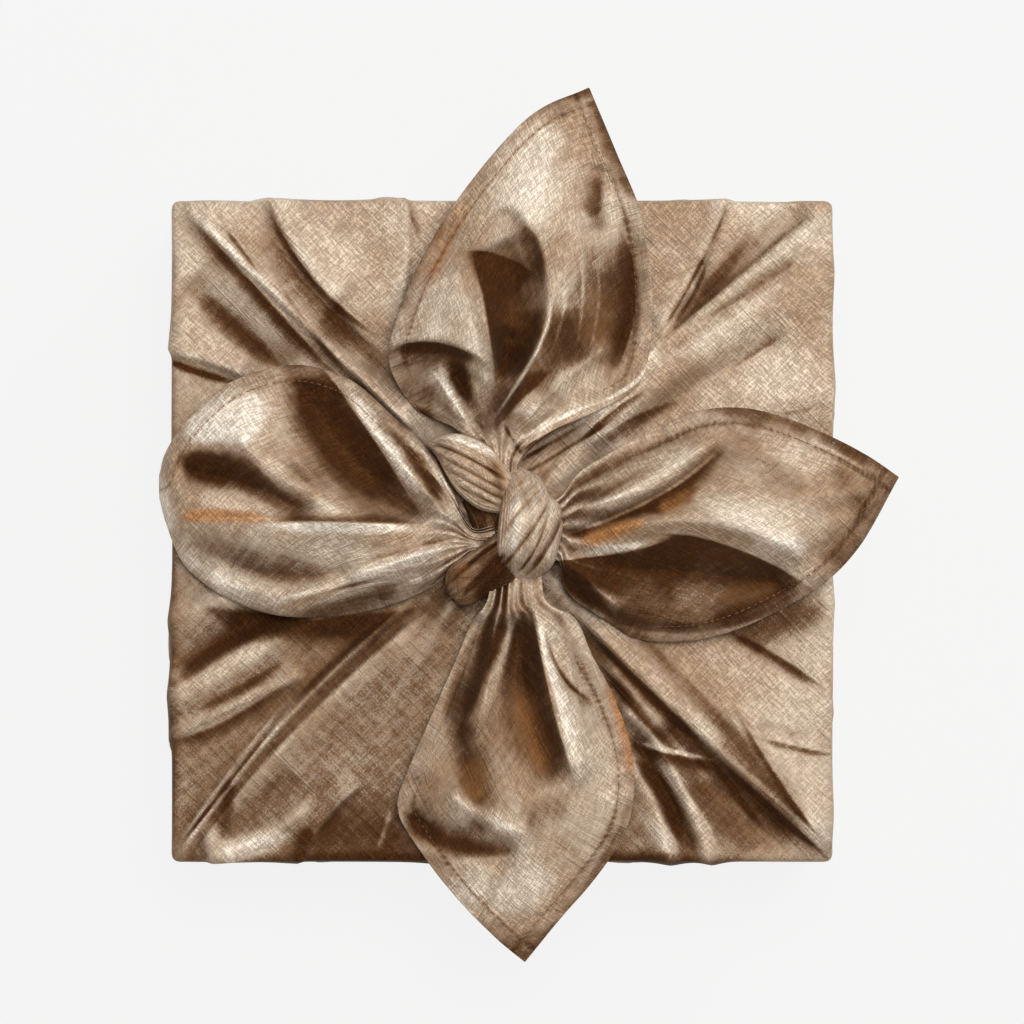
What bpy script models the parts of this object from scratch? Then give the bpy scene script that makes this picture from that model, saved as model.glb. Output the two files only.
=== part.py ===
"""A square gift box wrapped in one silk furoshiki cloth and tied on top.

The cloth is one piece, so the wrapped block, the knot and the four loose corners are one solid.
X runs to the right and Y away from the viewer, seen from above with the knot on top.
The origin is the middle of the face that the box rests on. Tables are in millimetres.
"""

import math
from collections import namedtuple

import bmesh
import bpy
import numpy as np

MM = 0.001

# The wrapped block
SIDE = 0.1966
HEIGHT = 0.080
EDGE_RADIUS = 0.0014
CLOTH = 0.0010
SINK = 0.0015
BLOCK_CUTS = 71
BLOCK_TRIANGLES = 3500
WALL_SHARE = 0.45
CORNER_FADE = 0.007
FLOOR_FADE = 0.006

# The gathers that climb from the lid to the knot
PEAK = 0.0085
PEAK_RADIUS = 0.021
GATHERS = 17
GATHER_HEIGHT = 0.0011
GATHER_REACH = 0.030
SWELL = 0.0006

# The loose corners of the cloth
SHEET = 0.0016
STEEPEST = 0.45
TAIL_ROWS = 44
TAIL_COLUMNS = 30
TAIL_TRIANGLES = 1200
PLEAT_HEIGHT = 0.0011
PLEAT_REACH = 0.30
CREST_POWER = 1.5
CREASE_STEPS = 16
SHARPEST = 0.0024
END_FADE = 0.14

# The knot
TURN_RINGS = 30
TURN_SIDES = 40
TURN_TRIANGLES = 840
HEART_TRIANGLES = 160
ROUNDNESS = 0.85

SILK_COLOUR = (0.50, 0.36, 0.235, 1.0)
SILK_ROUGHNESS = 0.42
SILK_METALLIC = 0.35

# A fold runs through three points. rise is its height at the start and rise_end at the end,
# below zero for a trough. left and right are its half-widths, as seen walking along it.
Fold = namedtuple("Fold", "x0 y0 x1 y1 x2 y2 rise rise_end left right")

# A section of a loose corner, from one edge (a) to the other (b). Heights are above the lid,
# and crown is how far its middle stands above the straight line between its edges.
Section = namedtuple("Section", "ax ay az bx by bz crown")

# A turn of the knot, between its two edges. The crown is half its thickness.
Turn = namedtuple("Turn", "name sections")

# Folds on the block. Beyond the lid's edge they go on down the side, as on an opened-out box.
WRAP_FOLDS = (
    # upper left quarter
    Fold(-98, 100, -61, 64, -20, 24, 4.6, 7.0, 7, 1.4),
    Fold(-84, 81, -64, 63, -42, 42, 1.6, 3.6, 1.2, 7),
    Fold(-96, 77, -80, 62, -62, 46, -4.0, -4.2, 6, 6),
    Fold(-140, 60, -99, 54, -74, 45, 2.2, 5.0, 9, 0.9),
    Fold(-84, 92, -78, 85, -74, 78, -1.5, -1.5, 2, 2),
    Fold(-84, 150, -66, 92, -28, 47, 2.0, 5.4, 13, 1.1),
    Fold(-52, 70, -40, 56, -26, 39, -4.6, -4.6, 6, 5),
    Fold(-36, 122, -28, 90, -34, 56, 2.6, 2.2, 1.0, 12),
    # upper right quarter
    Fold(76, 150, 64, 90, 44, 54, 1.8, 3.8, 1.0, 11),
    Fold(61, 82, 57, 73, 50, 61, -2.2, -2.2, 1.6, 3),
    Fold(94, 96, 73, 79, 40, 50, -4.0, -4.6, 2.6, 8),
    Fold(99, 97, 59, 66, 14, 24, 4.6, 7.0, 6, 2.5),
    Fold(89, 82, 71, 70, 44, 51, -2.2, -2.4, 1.8, 1.8),
    Fold(60, 74, 50, 66, 40, 50, 2.2, 3.0, 3, 3),
    Fold(112, 84, 63, 55, 24, 24, 2.6, 5.4, 9, 9),
    Fold(86, 60, 62, 46, 28, 22, -3.4, -4.4, 5, 5),
    Fold(125, 50, 71, 34, 30, 15, 2.2, 4.6, 9, 9),
    # lower right quarter
    Fold(20, -22, 59, -60, 99, -98, 7.0, 4.6, 9, 1.8),
    Fold(28, -36, 48, -58, 64, -77, 4.0, 2.6, 3.4, 2.2),
    Fold(60, -40, 77, -68, 99, -97, 1.6, 3.6, 12, 0.9),
    Fold(60, -26, 73, -34, 94, -47, -1.8, -1.8, 2.6, 2.6),
    Fold(76, -57, 83, -59.5, 91, -62, -1.0, -1.0, 1.6, 1.6),
    Fold(34, -52, 51, -71, 68, -118, 5.0, 2.8, 3.4, 3.4),
    Fold(46, -56, 65, -74, 88, -96, -4.6, -3.6, 4.4, 4.4),
    Fold(32, -66, 46, -83, 53, -122, 5.4, 2.6, 4.4, 4.4),
    Fold(38, -60, 49, -78, 59, -99, -4.4, -4.2, 3, 3.4),
    Fold(135, -22, 88, -20, 46, -12, 1.8, 3.2, 8, 8),
    # lower left quarter
    Fold(-136, -40, -86, -21, -54, -10, 2.6, 5.2, 6, 7),
    Fold(-99, -42, -82, -31, -56, -19, -3.6, -3.8, 4.4, 4.4),
    Fold(-130, -62, -80, -39, -34, -15, 2.6, 6.2, 7, 7),
    Fold(-128, -76, -86, -55, -56, -42, 2.0, 3.8, 8, 1.1),
    Fold(-98, -100, -70, -62, -24, -18, 4.0, 5.4, 1.8, 1.5),
    Fold(-94, -100, -64, -62, -20, -22, 3.2, 5.0, 1.3, 8),
    Fold(-90, -98, -75, -93, -54, -80, 3.6, 3.6, 5, 4),
    Fold(-86, -92, -72, -80, -58, -68, -3.6, -3.6, 5, 5),
    Fold(-66, -130, -59, -96, -40, -74, 1.4, 2.4, 7, 1.0),
    Fold(-22, -140, -16, -92, -8, -40, 1.8, 3.6, 7, 7),
)

# Folds low on the four walls, given once for a wall and turned round the block.
WALL_FOLDS = (
    Fold(-88, 172, -58, 140, -30, 106, 0.9, 1.2, 7, 3),
    Fold(-66, 178, -34, 146, -6, 110, 0.8, 1.0, 5, 5),
    Fold(90, 168, 66, 136, 52, 108, 1.0, 1.1, 3, 8),
    Fold(48, 178, 26, 150, 16, 114, 0.8, 1.0, 6, 5),
    Fold(-94, 150, -80, 126, -60, 108, -1.0, -1.2, 5, 5),
    Fold(94, 140, 84, 122, 74, 108, -1.0, -1.2, 4, 4),
)

TOP_TAIL = (
    Section(-5, 8, 12, 7, 8, 12, 1),
    Section(-5, 22, 15, 5, 20, 15, 2),
    Section(-14, 30.5, 9, 15, 29.5, 13, 5),
    Section(-26, 37, 6, 29.5, 36.5, 11, 9),
    Section(-33.6, 50, 7, 40.8, 44, 9, 12),
    Section(-31.2, 64, 8, 44.7, 59, 10, 12),
    Section(-23.1, 83, 10, 44.4, 77, 12, 10),
    Section(-9.6, 104, 11, 41.4, 95, 13, 7),
    Section(8.4, 124, 11, 34.8, 111.5, 12, 3),
    Section(25.8, 132.5, 10, 26.2, 132.2, 10, 0),
)

TOP_TAIL_FOLDS = (
    Fold(0, 88, 3.6, 70, 0, 44, -6.0, -9.5, 8, 7),
    Fold(2, 62, -1.5, 45, -7, 28, -5.0, -6.0, 3.4, 3.4),
    Fold(-15, 80, -9, 62, -3, 38, 4.6, 6.6, 3.4, 11),
    Fold(-12, 82, 2, 97, 12, 80, 3.4, 3.4, 12, 2.6),
    Fold(11, 88, 12.4, 60, -3, 28, 4.6, 8.0, 16, 2.4),
    Fold(32, 80, 27, 56, 8, 36, -3.0, -6.0, 6, 6),
    Fold(6, 31, 17.5, 44, 34, 57, 5.6, 3.6, 4.5, 2.2),
    Fold(36, 98, 39.5, 70, 30, 46, -4.0, -4.8, 4, 4),
    Fold(28.5, 110, 28.3, 100, 29.5, 88, -3.2, -3.2, 3, 4),
    Fold(-37, 53, -18.5, 57, 0, 46, 6.0, 7.0, 14, 1.5),
    Fold(-35, 47, -18.0, 50, -4, 40, -3.4, -3.4, 2.2, 3),
    Fold(-22, 50, -15.5, 40, -6, 26, 4.0, 5.0, 2.2, 2.6),
    Fold(-15, 48, -9.6, 39.5, -3, 28, -4.6, -4.6, 2.4, 2.4),
    Fold(3, 24, 18, 31, 38, 41, 3.2, 2.0, 1.8, 1.8),
)

LEFT_TAIL = (
    Section(-1, 3, 12, 1, -8, 12, 1),
    Section(-9, 1.5, 15, -8, -6, 14, 2),
    Section(-15, 12.5, 14, -14.1, -11, 10, 6),
    Section(-21, 24, 11, -23, -17.6, 7, 11),
    Section(-32, 34, 10, -36.6, -23, 6, 15),
    Section(-45.6, 45.5, 11, -53, -25.7, 6, 17),
    Section(-62, 49.7, 12, -70, -24.5, 6, 17),
    Section(-80, 45, 12, -84, -18.8, 6, 15),
    Section(-93.6, 33.5, 10, -95, -10, 6, 12),
    Section(-100.4, 24, 7, -100.4, 2, 5, 7),
    Section(-102.6, 17, 4, -102.6, 10, 4, 1.5),
)

LEFT_TAIL_FOLDS = (
    Fold(-62, 47, -45, 22, -20, 2, -8.5, -10.5, 8, 8),
    Fold(-80, 36, -66, 16, -36, 3, 4.6, 6.4, 6, 6),
    Fold(-98, 17, -79, 15, -54, 4, -5.5, -6.5, 5, 5),
    Fold(-92, 34, -82, 30, -74, 24, 2.0, 2.0, 6, 6),
    Fold(-97, 3.4, -60, 3.8, -17, 2.0, 3.0, 6.4, 1.6, 11),
    Fold(-96, -2, -70, -12, -40, -13, -3.8, -5.0, 5, 5),
    Fold(-90, -12, -69, -19, -44, -16, 2.4, 3.0, 5, 5),
    Fold(-74, -24, -49.5, -15, -12, -3, 3.0, 5.4, 2, 6),
    Fold(-50, 45, -31, 22, -12, -1, 5.4, 7.6, 4.4, 4),
    Fold(-38, 36, -25, 21, -12, 5, -4.4, -5.2, 3, 3),
    Fold(-30, 30, -20.5, 17, -12, 6, 3.6, 4.4, 2.6, 2.6),
)

RIGHT_TAIL = (
    Section(4, 7, 12, 4, -7, 12, 1),
    Section(16.2, 9.5, 14, 16.2, -8.6, 12, 3),
    Section(23.4, 18, 13, 19.2, -18.2, 7, 7),
    Section(34, 24.5, 11, 30, -26, 6, 12),
    Section(46, 31, 10, 40, -32, 5, 14),
    Section(59.4, 36.2, 9, 53.4, -33, 5, 15),
    Section(73, 36.8, 11, 67.8, -30.2, 5, 15),
    Section(86.4, 33.2, 14, 82, -24, 7, 12),
    Section(98.4, 28.1, 17, 96, -15.5, 11, 8),
    Section(109, 22.4, 19, 106.8, -4, 15, 4),
    Section(117.9, 16.3, 19, 117.8, 15.9, 19, 0),
)

RIGHT_TAIL_FOLDS = (
    Fold(14, -6, 56, 3.5, 94, -10, 7.0, 7.0, 11, 4),
    Fold(26, -12, 56, -12, 90, -17, -6.0, -6.5, 6, 7),
    Fold(14, -2, 46, 10.7, 67, 28, -6.4, -5.6, 1.6, 7),
    Fold(15, 2, 38.4, 13, 66, 29, 5.4, 4.4, 4.4, 3),
    Fold(15, 8, 35.4, 21, 62, 31, -3.8, -3.0, 2.8, 2.8),
    Fold(26, -20, 45, -26, 68, -27, 3.4, 3.4, 6, 4),
    Fold(91, 27, 98, 8, 96, -14, -2.6, -3.0, 7, 7),
    Fold(16, -8, 26, -15, 36, -24, 4.0, 3.0, 2.6, 2.6),
)

BOTTOM_TAIL = (
    Section(-2, -5, 12, 12, -5, 12, 1),
    Section(-4.2, -20, 14, 12.9, -20, 14, 2),
    Section(-9, -27.2, 9, 21.9, -26, 10, 6),
    Section(-13.2, -37, 7, 27, -37, 8, 10),
    Section(-19.8, -52, 5, 33.3, -49, 7, 12),
    Section(-27, -68.6, 5, 38.1, -62.6, 7, 13),
    Section(-31.2, -83, 6, 39.6, -76, 8, 12),
    Section(-23.1, -97.4, 7, 36.9, -89.6, 9, 9),
    Section(-12, -111.2, 8, 28.2, -103.1, 9, 5),
    Section(-1.2, -122, 8, 17.4, -115.7, 8, 2),
    Section(6.7, -128.6, 7, 7.1, -128.4, 7, 0),
)

BOTTOM_TAIL_FOLDS = (
    Fold(3.4, -20, -3.3, -42, -10, -70, 6.4, 4.4, 4, 4),
    Fold(4.4, -22, 7.4, -51, 15, -78, -9.5, -7.0, 6.4, 7),
    Fold(9.6, -18, 14.4, -48.8, 24, -76, 7.4, 5.0, 8, 3),
    Fold(14, -30, 19, -44.6, 28, -52, -2.2, -2.2, 1.8, 1.8),
    Fold(-12, -56, -10, -76, -5, -90, -6.0, -5.4, 4.4, 4.4),
    Fold(-31, -84, -12.3, -91, 6, -95, -5.0, -4.2, 4, 5),
    Fold(-16, -76, -5.4, -85.3, 10, -90, 4.0, 4.0, 4.4, 3.4),
    Fold(1.6, -97, -5.4, -111, -7, -119, -1.0, -1.0, 1.6, 1.6),
    Fold(-6, -24, -11, -40, -19, -60, -3.4, -3.4, 2.8, 2.8),
)

TAILS = (
    ("top_corner", TOP_TAIL, TOP_TAIL_FOLDS, 4),
    ("left_corner", LEFT_TAIL, LEFT_TAIL_FOLDS, 5),
    ("right_corner", RIGHT_TAIL, RIGHT_TAIL_FOLDS, 5),
    ("bottom_corner", BOTTOM_TAIL, BOTTOM_TAIL_FOLDS, 4),
)

TURNS = (
    Turn(
        "rear_turn",
        (
            Section(-22.2, 26.3, 12, -21.6, 25, 12, 2),
            Section(-18.6, 28.4, 13, -19.2, 22, 13, 5.5),
            Section(-13.8, 29.3, 14, -16.5, 16.7, 13, 8),
            Section(-8.1, 28, 14, -12.6, 11, 13, 9),
            Section(-2.4, 24.5, 14, -7.2, 6.8, 13, 9),
            Section(1.8, 19, 13, -1.2, 5.3, 13, 8),
            Section(4.8, 14, 12, 3, 5, 12, 5),
        ),
    ),
    Turn(
        "front_turn",
        (
            Section(1.5, 19, 10, 5.4, 19.4, 10, 3),
            Section(0.3, 15.5, 13, 11.7, 16, 12, 7),
            Section(0, 11.3, 16, 14.1, 11.3, 14, 10.5),
            Section(-0.6, 6.5, 19, 17.4, 7.7, 16, 13),
            Section(-1.2, 1, 20, 18.3, 2.3, 17, 13.5),
            Section(-1.5, -4.4, 19, 17.1, -3.8, 16, 12.5),
            Section(-0.9, -8.6, 16, 15.6, -9.2, 14, 10.5),
            Section(0.9, -12.8, 12, 12.3, -13, 11, 7),
            Section(4.2, -15.2, 9, 7.2, -15.2, 9, 3),
        ),
    ),
    Turn(
        "low_turn",
        (
            Section(-0.6, 0.5, 13, 5.4, -13, 13, 8),
            Section(-4.2, -2, 13, 2.4, -16, 12, 8),
            Section(-8.4, -5, 12, -1.2, -17.3, 12, 7.5),
            Section(-12.6, -7.7, 11, -5.1, -19.4, 11, 7),
            Section(-15.9, -10.4, 10, -9, -21.8, 10, 6),
            Section(-17.1, -14, 9, -12.9, -21.8, 9, 4.5),
            Section(-16.8, -17, 8, -15.3, -20.3, 8, 2),
        ),
    ),
    Turn(
        "heart",
        (
            Section(-12, 9, 7, -3, 16, 7, 3),
            Section(-9, 1, 7, 8, 10, 7, 7),
            Section(-8, -8, 7, 13, 2, 7, 7),
            Section(-2, -13, 7, 12, -6, 7, 3),
        ),
    ),
)

KNOT_FOLDS = (
    Fold(-23, 27, -10.2, 22, 2, 14, -1.4, -1.8, 0.7, 0.7),
    Fold(-21, 24, -10.8, 18.4, 1, 11.5, -1.3, -1.8, 0.7, 0.7),
    Fold(-18.6, 20, -9.4, 14.6, 1, 8.6, -1.3, -1.6, 0.7, 0.7),
    Fold(-15, 14.4, -8, 11, 0, 6.6, -1.1, -1.4, 0.6, 0.6),
    Fold(-20, 27.6, -9, 25.6, 1, 18, 0.9, 0.9, 1.4, 1.0),
    Fold(15.5, 12, 8.5, 0, -1.6, -12.6, -1.6, -1.8, 0.7, 0.9),
    Fold(12, 13, 5.4, 6.4, -0.6, -3, -1.0, -1.3, 0.6, 0.9),
    Fold(18, 7, 14.5, -3.6, 5.4, -15, -1.5, -1.6, 0.7, 0.7),
    Fold(13, 16.4, 6, 12.6, 0, 6.6, -0.8, -0.9, 0.9, 0.9),
    Fold(13, 4, 8.4, -6, 2.6, -14, -0.9, -1.2, 0.5, 0.5),
    Fold(1, -2, -7.7, -8, -17, -17, -1.4, -1.2, 0.7, 0.7),
    Fold(2, -6, -5.2, -12.4, -13.4, -21, -1.5, -1.3, 0.7, 0.7),
    Fold(3, -10.4, -2.7, -14.8, -8.6, -21, -1.3, -1.3, 0.6, 0.6),
    Fold(-3, -1.4, -13, -6.4, -19, -12, -0.9, -0.9, 0.6, 0.6),
)


def remove_everything():
    for thing in list(bpy.data.objects):
        bpy.data.objects.remove(thing)


def silk():
    """Champagne silk, a little metallic in its gloss."""
    material = bpy.data.materials.new("silk")
    material.use_nodes = True
    shader = material.node_tree.nodes["Principled BSDF"]
    shader.inputs["Base Color"].default_value = SILK_COLOUR
    shader.inputs["Roughness"].default_value = SILK_ROUGHNESS
    shader.inputs["Metallic"].default_value = SILK_METALLIC
    return material


def smoothstep(value):
    value = np.clip(value, 0, 1)
    return value * value * (3 - 2 * value)


def through_three(start, middle, end, share):
    """Points of the smooth curve through three points, at each share of its way."""
    t = np.asarray(share, float)[:, None]
    start, middle, end = (np.asarray(point, float) for point in (start, middle, end))
    return start * (2 * t - 1) * (t - 1) + middle * 4 * t * (1 - t) + end * t * (2 * t - 1)


def fold_height(points, fold):
    """How far one fold lifts the cloth at each plan point."""
    path = MM * through_three(fold[0:2], fold[2:4], fold[4:6], np.linspace(0, 1, CREASE_STEPS))
    begin, step = path[:-1], np.diff(path, axis=0)
    away = points[:, None, :] - begin
    along = np.clip((away * step).sum(2) / (step**2).sum(1), 0, 1)
    miss = away - along[..., None] * step
    distance = np.hypot(miss[..., 0], miss[..., 1])
    nearest = distance.argmin(1)
    row = np.arange(len(points))
    miss, distance = miss[row, nearest], distance[row, nearest]
    on_left = step[nearest, 0] * miss[:, 1] - step[nearest, 1] * miss[:, 0] > 0
    width = np.maximum(MM * np.where(on_left, fold.left, fold.right), SHARPEST)
    share = (nearest + along[row, nearest]) / (CREASE_STEPS - 1)
    rise = MM * (fold.rise + (fold.rise_end - fold.rise) * share)
    ends = smoothstep(share / END_FADE) * smoothstep((1 - share) / END_FADE)
    return rise * ends * np.exp(-((distance / width) ** CREST_POWER))


def relief(points, folds):
    return sum(fold_height(points, fold) for fold in folds)


def turned(fold, quarter):
    """The same fold on another wall, a number of quarter turns round the block."""
    ends = []
    for x, y in (fold[0:2], fold[2:4], fold[4:6]):
        for _ in range(quarter):
            x, y = -y, x
        ends += [x, y]
    return Fold(*ends, *fold[6:])


def lid_shape(points):
    """Height of the cloth over the lid and walls: its folds, swells and gathers."""
    walls = [turned(fold, quarter) for quarter in range(4) for fold in WALL_FOLDS]
    height = CLOTH + relief(points, WRAP_FOLDS) + relief(points, walls)
    radius = np.hypot(points[:, 0], points[:, 1])
    angle = np.arctan2(points[:, 1], points[:, 0])
    height += PEAK * np.exp(-((radius / PEAK_RADIUS) ** 2))
    gathers = np.cos(GATHERS * angle + 2.0 * np.sin(3 * angle))
    height += GATHER_HEIGHT * gathers * np.exp(-((radius / GATHER_REACH) ** 2))
    return height + SWELL * np.sin(95 * points[:, 0]) * np.cos(82 * points[:, 1])


def block_object(material):
    """The box under its cloth: a grid cube, rounded, then lifted by the folds."""
    build = bmesh.new()
    bmesh.ops.create_cube(build, size=2)
    bmesh.ops.subdivide_edges(build, edges=build.edges[:], cuts=BLOCK_CUTS, use_grid_fill=True)
    cube = np.array([vertex.co for vertex in build.verts])
    low, high = -SINK, HEIGHT
    half = np.array([SIDE / 2, SIDE / 2, (high - low) / 2])
    spot = cube * half
    core = np.clip(spot, EDGE_RADIUS - half, half - EDGE_RADIUS)
    normal = spot - core
    normal /= np.maximum(np.linalg.norm(normal, axis=1), 1e-9)[:, None]
    place = core + EDGE_RADIUS * normal
    place[:, 2] += (high + low) / 2

    depth = np.clip(HEIGHT - place[:, 2], 0, None)
    opened = place[:, :2].copy()
    row = np.arange(len(place))
    axis = np.abs(opened).argmax(1)
    opened[row, axis] += np.sign(opened[row, axis]) * depth
    lift = lid_shape(opened)
    to_corner = SIDE / 2 - np.abs(place[row, 1 - axis])
    on_wall = smoothstep(depth / EDGE_RADIUS)
    # Pulled tight over the edge, the folds are flatter on the walls than on the lid.
    lift = CLOTH + (lift - CLOTH) * (1 - (1 - WALL_SHARE) * on_wall)
    lift *= 1 - on_wall * (1 - smoothstep(to_corner / CORNER_FADE))
    lift *= smoothstep(place[:, 2] / FLOOR_FADE)
    lift[normal[:, 2] < -0.5] = 0
    place += normal * lift[:, None]
    for vertex, point in zip(build.verts, place):
        vertex.co = point
    block = object_of("furoshiki_wrap", build, material)
    thin_out(block, BLOCK_TRIANGLES)
    return block


def object_of(name, build, material):
    """A smooth-shaded object from a bmesh."""
    bmesh.ops.recalc_face_normals(build, faces=build.faces)
    mesh = bpy.data.meshes.new(name)
    build.to_mesh(mesh)
    build.free()
    mesh.shade_smooth()
    mesh.materials.append(material)
    made = bpy.data.objects.new(name, mesh)
    bpy.context.collection.objects.link(made)
    return made


def thin_out(thing, triangles):
    """Fewer triangles where the surface is plain, so that they go to the folds."""
    thing.data.calc_loop_triangles()
    decimate = thing.modifiers.new("thin_out", "DECIMATE")
    decimate.ratio = triangles / len(thing.data.loop_triangles)


def smooth_rows(sections, count):
    """The sections' columns, read at evenly spaced places along a smooth curve through them."""
    table = np.array(sections, float)
    table = np.vstack([2 * table[0] - table[1], table, 2 * table[-1] - table[-2]])
    place = np.linspace(0, len(sections) - 1, count)
    first = np.minimum(place.astype(int), len(sections) - 2)
    t = (place - first)[:, None]
    before, a, b, after = (table[first + k] for k in range(4))
    slope_a, slope_b = (b - before) / 2, (after - a) / 2
    return (
        a * (2 * t**3 - 3 * t**2 + 1)
        + slope_a * (t**3 - 2 * t**2 + t)
        + b * (3 * t**2 - 2 * t**3)
        + slope_b * (t**3 - t**2)
    )


def tail_surface(sections, folds, pleats, rows, columns):
    """The upper face of a loose corner, as rows of points from the knot to the tip."""
    table = smooth_rows(sections, rows)
    along = np.linspace(0, 1, rows)[:, None]
    across = np.linspace(0, 1, columns)[None, :]
    crown = (4 * across * (1 - across)) ** 0.75
    x, y, z = (
        MM * (table[:, k, None] * (1 - across) + table[:, k + 3, None] * across) for k in range(3)
    )
    z = z + MM * table[:, 6, None] * crown
    z = z + PLEAT_HEIGHT * np.cos(2 * math.pi * pleats * across) * smoothstep(1 - along / PLEAT_REACH)
    plan = np.stack([x.ravel(), y.ravel()], axis=1)
    # The folds die away at the very root, where the cloth is inside the knot.
    folded = relief(plan, folds).reshape(rows, columns) * smoothstep(along / 0.10)
    return np.stack([x, y, HEIGHT + z + folded], axis=2)


def closed_sheet(upper, thickness):
    """A bmesh of the sheet under a grid of points, closed all round."""
    rows, columns = upper.shape[:2]
    normal = np.cross(np.gradient(upper, axis=0), np.gradient(upper, axis=1))
    normal /= np.maximum(np.linalg.norm(normal, axis=2), 1e-12)[..., None]
    drop = thickness / np.maximum(np.abs(normal[..., 2]), STEEPEST)
    lower = upper - drop[..., None] * np.array([0, 0, 1])
    build = bmesh.new()
    top = [[build.verts.new(point) for point in line] for line in upper]
    low = [[build.verts.new(point) for point in line] for line in lower]
    for i in range(rows - 1):
        for j in range(columns - 1):
            build.faces.new((top[i][j], top[i][j + 1], top[i + 1][j + 1], top[i + 1][j]))
            build.faces.new((low[i][j], low[i + 1][j], low[i + 1][j + 1], low[i][j + 1]))
    rim = [(0, j) for j in range(columns)]
    rim += [(i, columns - 1) for i in range(1, rows)]
    rim += [(rows - 1, j) for j in range(columns - 2, -1, -1)]
    rim += [(i, 0) for i in range(rows - 2, 0, -1)]
    for (i, j), (k, m) in zip(rim, rim[1:] + rim[:1]):
        build.faces.new((top[i][j], low[i][j], low[k][m], top[k][m]))
    return build


def tail_object(name, sections, folds, pleats, material):
    surface = tail_surface(sections, folds, pleats, TAIL_ROWS, TAIL_COLUMNS)
    tail = object_of(name, closed_sheet(surface, SHEET), material)
    thin_out(tail, TAIL_TRIANGLES)
    return guide(tail)


def turn_object(turn, material):
    """One turn of the knot: a swollen band between its two edges, creased on top."""
    table = smooth_rows(turn.sections, TURN_RINGS)
    around = np.linspace(0, 2 * math.pi, TURN_SIDES, endpoint=False)
    across = ((1 - np.cos(around)) / 2)[:, None]
    lift = np.sign(np.sin(around)) * np.abs(np.sin(around)) ** ROUNDNESS
    points = MM * (table[:, None, 0:3] * (1 - across) + table[:, None, 3:6] * across)
    points[..., 2] += HEIGHT + MM * table[:, 6:7] * lift
    creases = relief(points[..., :2].reshape(-1, 2), KNOT_FOLDS).reshape(TURN_RINGS, TURN_SIDES)
    points[..., 2] += creases * smoothstep(2 * lift)
    build = bmesh.new()
    rings = [[build.verts.new(point) for point in ring] for ring in points]
    for one, other in zip(rings, rings[1:]):
        for j in range(TURN_SIDES):
            k = (j + 1) % TURN_SIDES
            build.faces.new((one[j], one[k], other[k], other[j]))
    build.faces.new(rings[0][::-1])
    build.faces.new(rings[-1])
    made = object_of(turn.name, build, material)
    thin_out(made, HEART_TRIANGLES if turn.name == "heart" else TURN_TRIANGLES)
    return guide(made)


def guide(thing):
    """Marks a shape that is only joined to, or cut from, the wrapped block."""
    thing.hide_render = True
    thing.display_type = "WIRE"
    return thing


def floor_cutter(material):
    """A slab under the block, which cuts its base flat at the floor."""
    build = bmesh.new()
    bmesh.ops.create_cube(build, size=1)
    for vertex in build.verts:
        vertex.co.x *= 2 * SIDE
        vertex.co.y *= 2 * SIDE
        vertex.co.z = (vertex.co.z - 0.5) * 4 * SINK
    return guide(object_of("floor_cutter", build, material))


def main():
    remove_everything()
    material = silk()
    block = block_object(material)
    loose = bpy.data.collections.new("knot_and_corners")
    for turn in TURNS:
        loose.objects.link(turn_object(turn, material))
    for tail in TAILS:
        loose.objects.link(tail_object(*tail, material))
    join = block.modifiers.new("join", "BOOLEAN")
    join.operation = "UNION"
    join.solver = "EXACT"
    join.operand_type = "COLLECTION"
    join.collection = loose
    flatten = block.modifiers.new("flatten", "BOOLEAN")
    flatten.operation = "DIFFERENCE"
    flatten.solver = "EXACT"
    flatten.object = floor_cutter(material)


main()
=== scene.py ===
"""A square gift box wrapped in one champagne silk cloth and tied on top, furoshiki style.

The cloth is drawn as a thin sheet over the lid and walls, a knot of three turns and four loose
corners. Its folds are laid out in the tables below, in millimetres, seen from above with X to
the right, Y away from the viewer and the origin under the middle of the box. All other lengths
are in metres.
"""

import math
from collections import namedtuple

import bmesh
import bpy
import numpy as np
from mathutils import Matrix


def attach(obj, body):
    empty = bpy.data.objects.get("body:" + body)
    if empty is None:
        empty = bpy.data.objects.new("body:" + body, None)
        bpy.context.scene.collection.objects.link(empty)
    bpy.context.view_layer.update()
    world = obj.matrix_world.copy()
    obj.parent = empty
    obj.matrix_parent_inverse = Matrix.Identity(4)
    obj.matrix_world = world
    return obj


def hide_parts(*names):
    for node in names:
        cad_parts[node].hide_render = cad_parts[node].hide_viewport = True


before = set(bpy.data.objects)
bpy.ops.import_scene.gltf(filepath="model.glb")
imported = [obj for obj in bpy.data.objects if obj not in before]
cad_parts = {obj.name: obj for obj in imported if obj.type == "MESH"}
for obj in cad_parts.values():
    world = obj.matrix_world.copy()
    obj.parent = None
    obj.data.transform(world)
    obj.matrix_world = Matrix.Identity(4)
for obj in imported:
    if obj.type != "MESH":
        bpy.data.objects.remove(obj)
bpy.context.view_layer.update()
CLOTH_NODE = "furoshiki_wrap"

bl_info = {
    "name": "Furoshiki gift",
    "version": (1, 0, 0),
    "blender": (4, 5, 0),
    "location": "3D View > Sidebar > Furoshiki",
    "description": "Builds a box wrapped in a hemmed silk cloth and tied with a knot",
    "category": "Add Mesh",
}

MM = 0.001
LID = 0.080

# The wrapped block. WALL_SHARE is how much of a fold's height is left on a wall.
SIDE = 0.1966
EDGE_RADIUS = 0.0014
TOE = 0.003
CLOTH_LIFT = 0.0010
LINING_GAP = 0.0065
LID_CELLS = 262
WALL_CELLS = 22
WALL_SHARE = 0.35
CORNER_FADE = 0.007
FLOOR_FADE = 0.006
SWELL = 0.0004

# The gathers that climb from the lid to the knot
PEAK = 0.0085
PEAK_RADIUS = 0.021
GATHER_WAVES = (11, 17, 23, 31, 43)
GATHER_REACH = 0.034
GATHER_RISE = 0.009
GATHER_SEED = 21

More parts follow.
